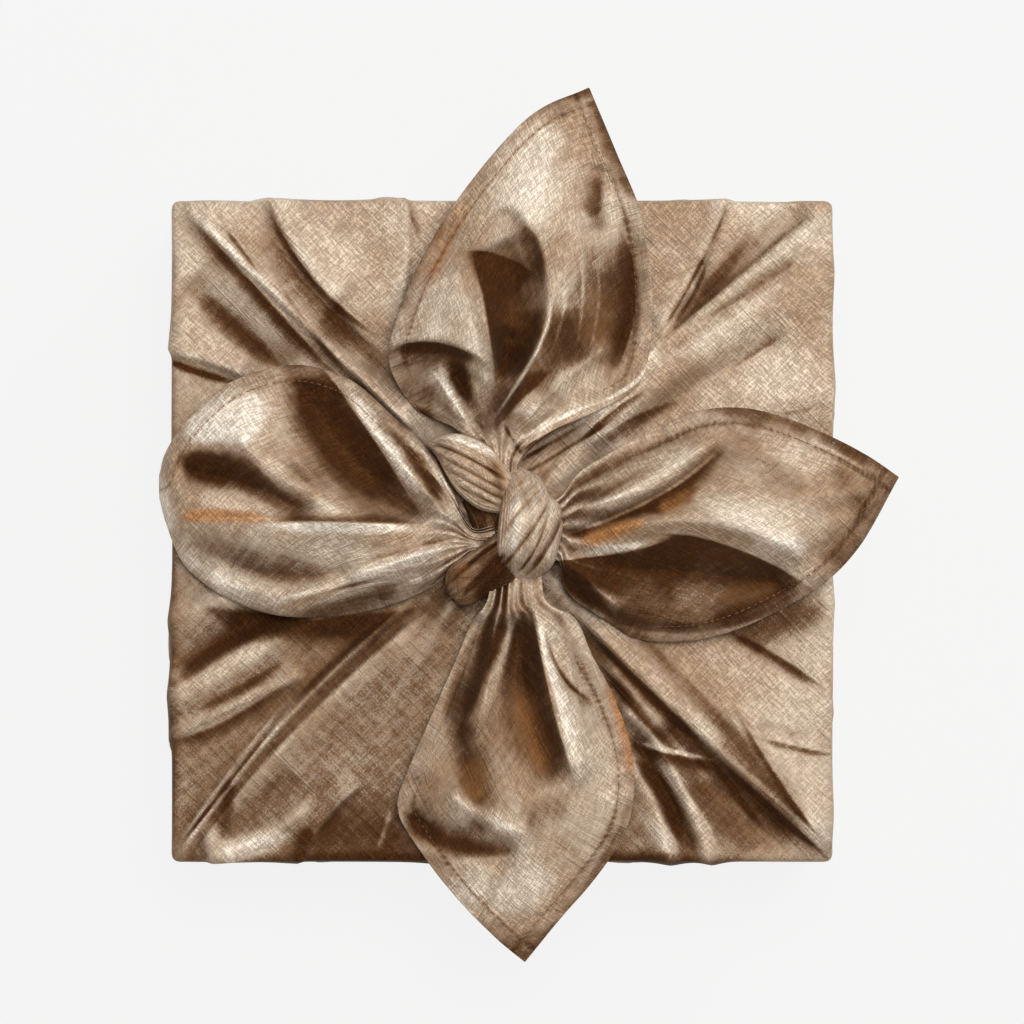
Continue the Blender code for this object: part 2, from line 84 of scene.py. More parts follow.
# How a fold or a shade fades to its sides and its ends
CREST_POWER = 1.5
FOLD_FADE = 0.14
SHADE_POWER = 2.2
SHADE_FADE = 0.30
SHADE_TAPER = 0.85
STROKE_STEPS = 16
SHARPEST = 0.0005

# The loose corners. A share is of the corner's length, from the knot to its tip.
TAIL_ROWS = 250
TAIL_COLUMNS = 160
ROOT_SHARE = 0.10
PLEATED_SHARE = 0.62
HEM_START_SHARE = 0.04
TIP_LENGTH = 0.015
PLEAT_RISE = 0.0008
SOFT_RISE = 0.0005
STEEPEST = 0.45

# The hems. Stitches end where a corner is less than NARROWEST_SEWN of their insets wide.
HEM_STEP = 0.0006
SEAM_WIDTH = 0.0009
PUCKER_DEPTH = 0.00035
EDGE_WAVE = 0.0004
EDGE_WAVE_REACH = 0.006
NARROWEST_SEWN = 2.9

# Painted shade in the hollows: how many cells round a place count, how deep the darkest are,
# and how strong the painted shade is
LID_HOLLOW_CELLS = 5
LID_HOLLOW = 0.0028
LID_HOLLOW_PAINTED_SHADE = 0.6
CORNER_HOLLOW_CELLS = 9
CORNER_HOLLOW = 0.0035
CORNER_HOLLOW_PAINTED_SHADE = 0.5

# The knot
TURN_RINGS = 110
TURN_SIDES = 130
ROUNDNESS = 0.85
KNOT_CREASING = 1.2
WRINKLE_RISE = 0.0007

# A fold runs through three points. rise is its height at the start and rise_end at the end,
# below zero for a trough. left and right are its half-widths, as seen walking along it.
Fold = namedtuple("Fold", "x0 y0 x1 y1 x2 y2 rise rise_end left right")

# A patch of painted shade, laid out like a fold: painted shade above zero, painted highlight below.
Shade = namedtuple("Shade", Fold._fields)

# A section of a loose corner, from one edge (a) to the other (b). Heights are above the lid,
# and crown is how far its middle stands above the straight line between its edges.
Section = namedtuple("Section", "ax ay az bx by bz crown")

# A turn of the knot, between its two edges. The crown is half its thickness, and its tone is the
# painted shade laid over all of it, a painted highlight below zero.
Turn = namedtuple("Turn", "name sections tone")

# A loose corner: crown is how flat its edges lie, its tone is the painted shade laid over all
# of it, and hem_a and hem_b are the shares of its length where each edge's hem starts to show,
# past 1 for none.
Corner = namedtuple(
    "Corner", "name sections folds shades tints crown tone pleats seed hem_a hem_b"
)

# A loose corner's upper face, as grids of its points, their distances from both edges, how far
# each is on a hem and its tone, the painted shade of its seams and gathers. threads are places
# along the weave.
Tail = namedtuple("Tail", "surface edge_a edge_b hem tone threads")

# Folds on the block. Beyond the lid's edge they go on down the side, as on an opened-out box.
WRAP_FOLDS = (
    # upper left quarter
    Fold(-98, 100, -61, 64, -20, 24, 4.6, 7.0, 7, 1.4),
    Fold(-84, 81, -64, 63, -42, 42, 1.6, 3.4, 2.0, 7),
    Fold(-96, 77, -80, 62, -62, 46, -4.0, -4.2, 6, 6),
    Fold(-140, 60, -99, 54, -74, 45, 2.0, 4.6, 9, 1.3),
    Fold(-84, 92, -78, 85, -74, 78, -1.5, -1.5, 2, 2),
    Fold(-84, 150, -66, 92, -28, 47, 2.0, 5.0, 13, 1.7),
    Fold(-52, 70, -40, 56, -26, 39, -4.6, -4.6, 6, 5),
    Fold(-36, 122, -28, 90, -34, 56, 2.6, 2.2, 1.0, 12),
    # upper right quarter
    Fold(76, 150, 64, 90, 44, 54, 1.8, 3.8, 1.0, 11),
    Fold(61, 82, 57, 73, 50, 61, -2.2, -2.2, 1.6, 3),
    Fold(94, 96, 73, 79, 40, 50, -4.0, -4.6, 2.6, 8),
    Fold(99, 97, 59, 66, 14, 24, 4.6, 7.0, 6, 2.5),
    Fold(89, 82, 71, 70, 44, 51, -2.2, -2.4, 1.8, 1.8),
    Fold(60, 74, 50, 66, 40, 50, 2.2, 3.0, 3, 3),
    Fold(112, 84, 63, 55, 24, 24, 2.6, 5.4, 9, 9),
    Fold(86, 60, 62, 46, 28, 22, -3.4, -4.4, 5, 5),
    Fold(125, 50, 71, 34, 30, 15, 2.2, 4.6, 9, 9),
    # lower right quarter
    Fold(20, -22, 59, -60, 99, -98, 7.0, 4.6, 9, 1.8),
    Fold(28, -36, 48, -58, 64, -77, 4.0, 2.6, 3.4, 2.2),
    Fold(60, -40, 77, -68, 99, -97, 1.4, 3.2, 12, 1.7),
    Fold(60, -26, 73, -34, 94, -47, -1.8, -1.8, 2.6, 2.6),
    Fold(76, -57, 83, -59.5, 91, -62, -1.0, -1.0, 1.6, 1.6),
    Fold(34, -52, 51, -71, 68, -118, 5.0, 2.8, 3.4, 3.4),
    Fold(46, -56, 65, -74, 88, -96, -4.6, -3.6, 4.4, 4.4),
    Fold(32, -66, 46, -83, 53, -122, 5.4, 2.6, 4.4, 4.4),
    Fold(38, -60, 49, -78, 59, -99, -4.4, -4.2, 3, 3.4),
    Fold(135, -22, 88, -20, 46, -12, 1.8, 3.2, 8, 8),
    # lower left quarter
    Fold(-136, -40, -86, -21, -54, -10, 2.6, 5.2, 6, 7),
    Fold(-99, -42, -82, -31, -56, -19, -3.6, -3.8, 4.4, 4.4),
    Fold(-130, -62, -80, -39, -34, -15, 2.6, 6.2, 7, 7),
    Fold(-128, -76, -86, -55, -56, -42, 1.8, 3.4, 8, 1.6),
    Fold(-98, -100, -70, -62, -24, -18, 4.0, 5.4, 1.8, 1.5),
    Fold(-94, -100, -64, -62, -20, -22, 3.2, 5.0, 1.3, 8),
    Fold(-90, -98, -75, -93, -54, -80, 3.6, 3.6, 5, 4),
    Fold(-86, -92, -74, -82, -60, -72, -3.2, -1.4, 5, 7),
    Fold(-66, -130, -59, -96, -40, -74, 1.4, 2.4, 7, 1.0),
    Fold(-22, -140, -16, -92, -8, -40, 1.8, 3.6, 7, 7),
)

# Folds low on the four walls, given once for a wall and turned round the block.
WALL_FOLDS = (
    Fold(-88, 172, -58, 140, -30, 106, 2.8, 3.2, 9, 3),
    Fold(-66, 178, -34, 146, -6, 110, 2.0, 2.6, 6, 5),
    Fold(90, 168, 66, 136, 52, 108, 2.8, 3.0, 3, 9),
    Fold(48, 178, 26, 150, 16, 114, 2.2, 2.6, 7, 5),
    Fold(-94, 150, -80, 126, -60, 108, -2.4, -2.8, 5, 5),
    Fold(94, 140, 84, 122, 74, 108, -2.4, -2.8, 4, 4),
)

# Painted shade and painted highlights low on the walls, beside those folds.
WALL_SHADES = (
    Shade(-95, 180, -61, 140, -28, 98, 0.3, 0.45, 3, 10),
    Shade(-84, 176, -54, 140, -24, 98, -0.2, -0.3, 7, 3),
    Shade(-62, 182, -29, 146, 0, 98, 0.2, 0.35, 8, 9),
    Shade(97, 178, 69, 136, 50, 98, 0.3, 0.45, 10, 3),
    Shade(56, 182, 31, 150, 16, 98, 0.2, 0.35, 9, 8),
    Shade(-98, 156, -81, 126, -56, 98, 0.25, 0.35, 7, 7),
    Shade(98, 150, 85, 122, 70, 98, 0.25, 0.35, 6, 6),
)

# The loose corners' sections, from the knot to the tip, and their folds
TOP_TAIL = (
    Section(-5, 8, 12, 7, 8, 12, 1),
    Section(-5, 22, 15, 5, 20, 15, 2),
    Section(-14, 30.5, 9, 15, 29.5, 13, 5),
    Section(-26, 37, 6, 29.5, 36.5, 11, 9),
    Section(-33.6, 50, 7, 40.8, 44, 9, 12),
    Section(-31.2, 64, 8, 44.7, 59, 10, 12),
    Section(-23.1, 83, 10, 44.4, 77, 12, 10),
    Section(-9.6, 104, 11, 41.4, 95, 13, 7),
    Section(8.4, 124, 11, 34.8, 111.5, 12, 3),
    Section(25.8, 132.5, 10, 26.2, 132.2, 10, 0),
)

TOP_TAIL_FOLDS = (
    Fold(0, 88, 3.6, 70, 0, 44, -6.0, -9.5, 8, 7),
    Fold(2, 62, -1.5, 45, -7, 28, -5.0, -6.0, 3.4, 3.4),
    Fold(-15, 80, -9, 62, -3, 38, 4.6, 6.6, 3.4, 11),
    Fold(-12, 82, 2, 97, 12, 80, 3.4, 3.4, 12, 2.6),
    Fold(11, 88, 12.4, 60, -3, 28, 4.6, 8.0, 16, 2.4),
    Fold(32, 80, 27, 56, 8, 36, -3.0, -6.0, 6, 6),
    Fold(6, 31, 17.5, 44, 34, 57, 5.6, 3.6, 4.5, 2.2),
    Fold(36, 98, 39.5, 70, 30, 46, -4.0, -4.8, 4, 4),
    Fold(28.5, 110, 28.3, 100, 29.5, 88, -3.2, -3.2, 3, 4),
    Fold(-37, 53, -18.5, 57, 0, 46, 6.0, 7.0, 14, 1.5),
    Fold(-35, 47, -18.0, 50, -4, 40, -3.4, -3.4, 2.2, 3),
    Fold(-22, 50, -15.5, 40, -6, 26, 4.0, 5.0, 2.2, 2.6),
    Fold(-15, 48, -9.6, 39.5, -3, 28, -4.6, -4.6, 2.4, 2.4),
    Fold(3, 24, 18, 31, 38, 41, 3.2, 2.0, 1.8, 1.8),
)

LEFT_TAIL = (
    Section(-1, 3, 12, 1, -8, 12, 1),
    Section(-9, 1.5, 15, -8, -6, 14, 2),
    Section(-15, 12.5, 14, -14.1, -11, 10, 6),
    Section(-21, 24, 11, -23, -17.6, 7, 11),
    Section(-32, 34, 10, -36.6, -23, 6, 15),
    Section(-45.6, 45.5, 11, -53, -25.7, 6, 17),
    Section(-62, 49.7, 12, -70, -24.5, 6, 17),
    Section(-80, 45, 12, -84, -18.8, 6, 15),
    Section(-93.6, 33.5, 10, -95, -10, 6, 12),
    Section(-100.4, 24, 7, -100.4, 2, 5, 7),
    Section(-102.6, 17, 4, -102.6, 10, 4, 1.5),
)

LEFT_TAIL_FOLDS = (
    Fold(-62, 47, -45, 22, -20, 2, -8.5, -10.5, 8, 8),
    Fold(-80, 36, -66, 16, -36, 3, 4.6, 6.4, 6, 6),
    Fold(-98, 17, -79, 15, -54, 4, -5.5, -6.5, 5, 5),
    Fold(-92, 34, -82, 30, -74, 24, 2.0, 2.0, 6, 6),
    Fold(-97, 3.4, -60, 3.8, -17, 2.0, 3.0, 6.4, 1.6, 11),
    Fold(-96, -2, -70, -12, -40, -13, -3.8, -5.0, 5, 5),
    Fold(-90, -12, -69, -19, -44, -16, 2.4, 3.0, 5, 5),
    Fold(-74, -24, -49.5, -15, -12, -3, 3.0, 5.4, 2, 6),
    Fold(-50, 45, -31, 22, -12, -1, 5.4, 7.6, 4.4, 4),
    Fold(-38, 36, -25, 21, -12, 5, -4.4, -5.2, 3, 3),
    Fold(-30, 30, -20.5, 17, -12, 6, 3.6, 4.4, 2.6, 2.6),
)

RIGHT_TAIL = (
    Section(4, 7, 12, 4, -7, 12, 1),
    Section(16.2, 9.5, 14, 16.2, -8.6, 12, 3),
    Section(23.4, 18, 13, 19.2, -18.2, 7, 7),
    Section(34, 24.5, 11, 30, -26, 6, 12),
    Section(46, 31, 10, 40, -32, 5, 14),
    Section(59.4, 36.2, 9, 53.4, -33, 5, 15),
    Section(73, 36.8, 11, 67.8, -30.2, 5, 15),
    Section(86.4, 33.2, 14, 82, -24, 7, 12),
    Section(98.4, 28.1, 17, 96, -15.5, 11, 8),
    Section(109, 22.4, 19, 106.8, -4, 15, 4),
    Section(117.9, 16.3, 19, 117.8, 15.9, 19, 0),
)

RIGHT_TAIL_FOLDS = (
    Fold(14, -6, 56, 3.5, 94, -10, 7.0, 7.0, 11, 4),
    Fold(26, -12, 56, -12, 90, -17, -6.0, -6.5, 6, 7),
    Fold(14, -2, 46, 10.7, 67, 28, -6.4, -5.6, 1.6, 7),
    Fold(15, 2, 38.4, 13, 66, 29, 4.4, 3.4, 5, 3),
    Fold(15, 8, 35.4, 21, 62, 31, -3.8, -3.0, 2.8, 2.8),
    Fold(26, -20, 45, -26, 68, -27, 3.4, 3.4, 6, 4),
    Fold(91, 27, 98, 8, 96, -14, -2.6, -3.0, 7, 7),
    Fold(16, -8, 26, -15, 36, -24, 4.0, 3.0, 2.6, 2.6),
)

BOTTOM_TAIL = (
    Section(-2, -5, 12, 12, -5, 12, 1),
    Section(-4.2, -20, 14, 12.9, -20, 14, 2),
    Section(-9, -27.2, 9, 21.9, -26, 10, 6),
    Section(-13.2, -37, 7, 27, -37, 8, 10),
    Section(-19.8, -52, 5, 33.3, -49, 7, 12),
    Section(-27, -68.6, 5, 38.1, -62.6, 7, 13),
    Section(-31.2, -83, 6, 39.6, -76, 8, 12),
    Section(-23.1, -97.4, 7, 36.9, -89.6, 9, 9),
    Section(-12, -111.2, 8, 28.2, -103.1, 9, 5),
    Section(-1.2, -122, 8, 17.4, -115.7, 8, 2),
    Section(6.7, -128.6, 7, 7.1, -128.4, 7, 0),
)

BOTTOM_TAIL_FOLDS = (
    Fold(3.4, -20, -3.3, -42, -10, -70, 6.4, 4.4, 4, 4),
    Fold(4.4, -22, 7.4, -51, 15, -78, -7.4, -5.4, 6.4, 8),
    Fold(9.6, -18, 14.4, -48.8, 24, -76, 7.4, 5.0, 8, 3),
    Fold(14, -30, 19, -44.6, 28, -52, -2.2, -2.2, 1.8, 1.8),
    Fold(-12, -54, -10, -76, -5, -92, -4.4, -4.8, 5, 5),
    Fold(-31, -84, -12.3, -91, 6, -95, -5.0, -4.2, 4, 5),
    Fold(-16, -76, -5.4, -85.3, 10, -90, 4.0, 4.0, 4.4, 3.4),
    Fold(1.6, -97, -5.4, -111, -7, -119, -1.0, -1.0, 1.6, 1.6),
    Fold(-6, -24, -11, -40, -19, -60, -3.4, -3.4, 2.8, 2.8),
)

# The painted shade and painted highlights of the loose corners, and their orange warp, painted
# where its sheen shows in the folds
TOP_TAIL_SHADES = (
    Shade(-9.4, 86, -4.6, 67, -1.6, 43, 1.3, 1.2, 13, 0.5),
    Shade(1.4, 92, 10.4, 86, 12, 68, 0.8, 0.9, 1.0, 3.2),
    Shade(-13, 83.4, -0.6, 81.6, 12, 74.4, 1.0, 1.0, 0.5, 8),
    Shade(13.2, 69, 10.8, 56, -4.2, 33.4, 0.5, 0.8, 0.4, 9),
    Shade(13.6, 71, 11.4, 56, -4.4, 31, -1.0, -1.3, 0.6, 0.6),
    Shade(14.2, 69, 12.4, 56, -2.4, 32, 0.6, 0.9, 8, 0.5),
    Shade(34, 92, 39.4, 70, 32, 44, 0.8, 0.9, 0.5, 6.5),
    Shade(26, 100, 27.4, 66, 11, 40, 0.4, 0.85, 12, 9),
    Shade(22.6, 86, 24, 69.4, 21, 50, -0.35, -0.35, 0.5, 0.5),
    Shade(27.4, 82, 28.8, 68, 25, 50, -0.3, -0.35, 0.4, 0.5),
    Shade(17.6, 80, 18.4, 66, 13, 50, -0.4, -0.4, 0.5, 0.5),
    Shade(29, 108, 28.4, 100, 27.4, 91, 0.6, 0.7, 1.6, 4),
    Shade(-34.4, 53, -20, 55.8, -2, 48.6, 1.1, 1.3, 0.4, 3.2),
    Shade(-16, 52, -12.3, 45.4, -9.6, 37, 1.1, 1.1, 2.8, 3.0),
    Shade(-19.4, 52, -15.6, 41, -9.6, 29, -0.8, -0.9, 1.4, 0.9),
    Shade(-26.4, 39, -21, 32, -11.4, 29, 1.2, 1.2, 2.4, 0.8),
    Shade(-28, 40, -24.6, 33, -12.6, 28.6, -1.4, -1.4, 0.7, 0.7),
    Shade(-30, 48, -26, 42, -17, 37, 0.3, 0.5, 5, 4),
    Shade(13, 42.5, 23.4, 45.4, 31.8, 49.6, -0.7, -0.6, 5, 3.4),
    Shade(16, 48.6, 5.4, 39.8, -3, 28.6, 1.0, 1.1, 1.0, 3.4),
    Shade(0, 33, 3.4, 27, 8, 20, 0.7, 0.7, 0.3, 0.5),
    Shade(45, 60, 41.4, 46, 24, 37, -1.1, -1.1, 0.6, 0.9),
    Shade(30, 39, 13.8, 32, -1, 23, -1.1, -1.0, 0.6, 0.9),
    Shade(25, 34, 13, 28.6, 3, 22, 0.8, 1.0, 2.0, 0.4),
    Shade(-16, 75.4, -19.2, 65, -22.2, 56, -0.35, -0.5, 6, 5),
    Shade(17.4, 128, 9.4, 111, 12, 84, -0.65, -0.7, 9, 11),
    Shade(26, 135, 34, 114, 43, 92, 1.0, 0.5, 2, 3.8),
    Shade(6, 124, 19, 131, 32, 133, 0.5, 0.9, 2, 3.6),
    Shade(24, 127, 30.2, 110, 35, 97, -0.8, -0.6, 0.6, 0.6),
    Shade(-13, 100, -26, 80, -34, 58, 0.4, 0.3, 2.6, 2.6),
    Shade(17.4, 128, -0.6, 116, -15.6, 98, 0.5, 0.3, 3, 3),
)

TOP_TAIL_SHOT_SHEENS = (
    Shade(-7, 102, -16, 87, -25, 66, 0.7, 0.6, 3, 5),
    Shade(22, 76, 28, 64, 22, 52, 0.35, 0.4, 6, 6),
    Shade(2, 72, 4, 62, 2, 52, 0.2, 0.3, 5, 5),
)

LEFT_TAIL_SHADES = (
    Shade(-57, 52, -41, 31, -22.6, 1.4, 1.2, 1.35, 0.6, 15),
    Shade(-64, 56, -55, 36, -36, 6, 0.7, 0.9, 5, 6),
    Shade(-47, 43, -35, 28, -21, 3.4, -0.8, -0.9, 1.8, 1.8),
    Shade(-31, 27.4, -23, 17, -15.6, 3.4, 0.7, 1.1, 2.2, 2.4),
    Shade(-25, 27, -18, 15.4, -8.7, 6, -1.2, -1.2, 0.8, 0.8),
    Shade(-96, 22, -82, 33, -64, 37, -1.05, -0.9, 8, 7.5),
    Shade(-78, 28, -60, 12, -41, 4.6, -0.9, -0.8, 3.4, 2.8),
    Shade(-101, 19, -76, 18.4, -42, 3.8, 1.0, 1.3, 5.4, 6),
    Shade(-97, 21, -88, 20, -76, 18, 0.8, 0.7, 5, 6),
    Shade(-74, 3.2, -48.6, 3.4, -20, 2.2, 1.2, 1.2, 1.6, 0.3),
    Shade(-74, 2, -48.6, 2.2, -20, 1, -0.7, -1.1, 0.3, 2.6),
    Shade(-94, 0.4, -76.5, -7, -44, -13, 0.5, 0.55, 5, 7),
    Shade(-49.5, -15, -31, -8, -11, -3.4, -0.5, -0.9, 1.6, 2.6),
    Shade(-47, -11.4, -29, -6, -12, -1.2, 0.4, 0.8, 1.4, 2.0),
    Shade(-67, -23, -49.5, -17.2, -29, -12, 0.6, 0.7, 0.6, 0.8),
    Shade(-64, -25, -46, -21, -24, -13, 0.5, 0.9, 2, 3.4),
    Shade(-101, 19, -101, 8, -96, -4, -0.6, -0.4, 3, 3),
    Shade(-96, -4, -86, -13, -72, -21.8, -0.6, -0.5, 4.5, 4),
    Shade(-90, 8.5, -76, 6.5, -62, 4.2, -0.5, -0.4, 1.8, 1.8),
)

LEFT_TAIL_SHOT_SHEENS = (
    Shade(-99, 4, -83, 4.6, -60, 3.0, 1.7, 1.1, 2.4, 2.0),
    Shade(-58, 40, -46, 22, -36, 8, 0.15, 0.2, 8, 6),
    Shade(-70, -24, -58, -20.5, -44, -16, 0.8, 0.4, 1.2, 1.2),
)

RIGHT_TAIL_SHADES = (
    Shade(2, -9, 30, -7.6, 62, 0.4, 1.1, 1.15, 0.5, 16),
    Shade(36, -2.6, 64, -3.6, 100, -22, 1.1, 1.1, 0.5, 16),
    Shade(24, -20, 54, -28, 92, -18, 0.8, 0.7, 6, 5),
    Shade(52, 12, 73, 4, 96, -10, -0.45, -0.5, 6.6, 4.6),
    Shade(17, -5.6, 35, -5.2, 58, 3, -0.7, -0.9, 1.6, 1.6),
    Shade(16, -2.6, 47, 9.8, 68, 27, 1.1, 0.8, 0.4, 3.0),
    Shade(41.4, 5.9, 49.8, 9.4, 60, 14, 0.9, 0.8, 2, 3),
    Shade(24, 8, 42, 17.8, 62, 28.6, -0.35, -0.35, 3, 4.6),
    Shade(18, 3, 32, 12, 54, 26, 0.5, 0.4, 1.0, 1.4),
    Shade(34, -27.5, 59.4, -31, 88, -22, -0.6, -0.6, 1.2, 1.6),
    Shade(72, 30, 88, 25, 100, 14, -0.3, -0.2, 6, 7),
    Shade(17, -9, 25, -17, 35, -27, 0.8, 0.6, 1.4, 2),
    Shade(62, 30, 80, 20, 96, 4, 0.35, 0.3, 4, 6),
    Shade(96, 20, 104, 12, 108, 0, 0.4, 0.4, 4, 4),
    Shade(52, 38, 90, 31, 124, 12, 0.5, 0.6, 2.4, 3.2),
    Shade(98, 27, 109, 20, 122, 12, 0.25, 0.35, 3, 5),
    Shade(120, 22, 110, 0, 90, -22, 0.45, 0.5, 4, 7.4),
    Shade(84, 29, 98, 24, 112, 15, -0.5, -0.6, 0.5, 0.5),
)

RIGHT_TAIL_SHOT_SHEENS = (
    Shade(20, -4.6, 32.4, -0.4, 46, 4.6, 1.6, 1.2, 2.2, 2.2),
    Shade(44, 6, 52, 9, 60, 15, 0.9, 0.5, 2.4, 2.4),
    Shade(60, -20, 74, -18, 86, -16, 0.4, 0.3, 4, 4),
)

BOTTOM_TAIL_SHADES = (
    Shade(7, -12, 13, -45, 23, -80, 0.95, 0.95, 0.5, 16),
    Shade(9, -18, 15.6, -46, 25, -78, -0.8, -0.9, 3.2, 0.8),
    Shade(12, -26, 17.4, -42, 27, -50.5, 1.0, 0.9, 0.7, 0.6),
    Shade(-15, -34, -9, -66, -6, -92, 0.4, 0.7, 5, 5),
    Shade(6, -21.8, -0.6, -38.6, -6, -60, -0.9, -0.6, 1.4, 1.6),
    Shade(-0.6, -26.6, -5.1, -41.6, -13, -60, 0.8, 0.6, 1.4, 2.6),
    Shade(-32, -81, -15.6, -93, 7, -94.6, 1.2, 0.9, 2.4, 2.6),
    Shade(-18, -75, -5.4, -85, 8, -90, -0.5, -0.5, 2.4, 1.6),
    Shade(-22, -104, 0, -108, 24, -97, -0.7, -0.65, 10, 10),
    Shade(-12, -112, 6, -126, 20, -110, 0.5, 0.5, 5, 4),
    Shade(28, -56, 33, -70, 31, -88, -0.25, -0.35, 5, 5),
    Shade(-32, -88, -15, -111, 9, -133, 0.1, 0.5, 2.4, 2.4),
    Shade(40, -76, 27, -105, 4, -133, 0.25, 0.6, 2.4, 2.4),
    Shade(2, -84, 12, -84, 22, -76, 0.3, 0.3, 5, 4),
    Shade(-20, -70, -22, -80, -26, -92, 0.3, 0.2, 5, 5),
)

BOTTOM_TAIL_SHOT_SHEENS = (
    Shade(4, -40, 8, -60, 15, -78, 0.5, 0.6, 5, 4),
    Shade(-8, -64, -8, -74, -6, -82, 0.6, 0.6, 4, 4),
    Shade(29, -40, 37, -58, 39, -80, 1.5, 0.8, 2, 3),
)
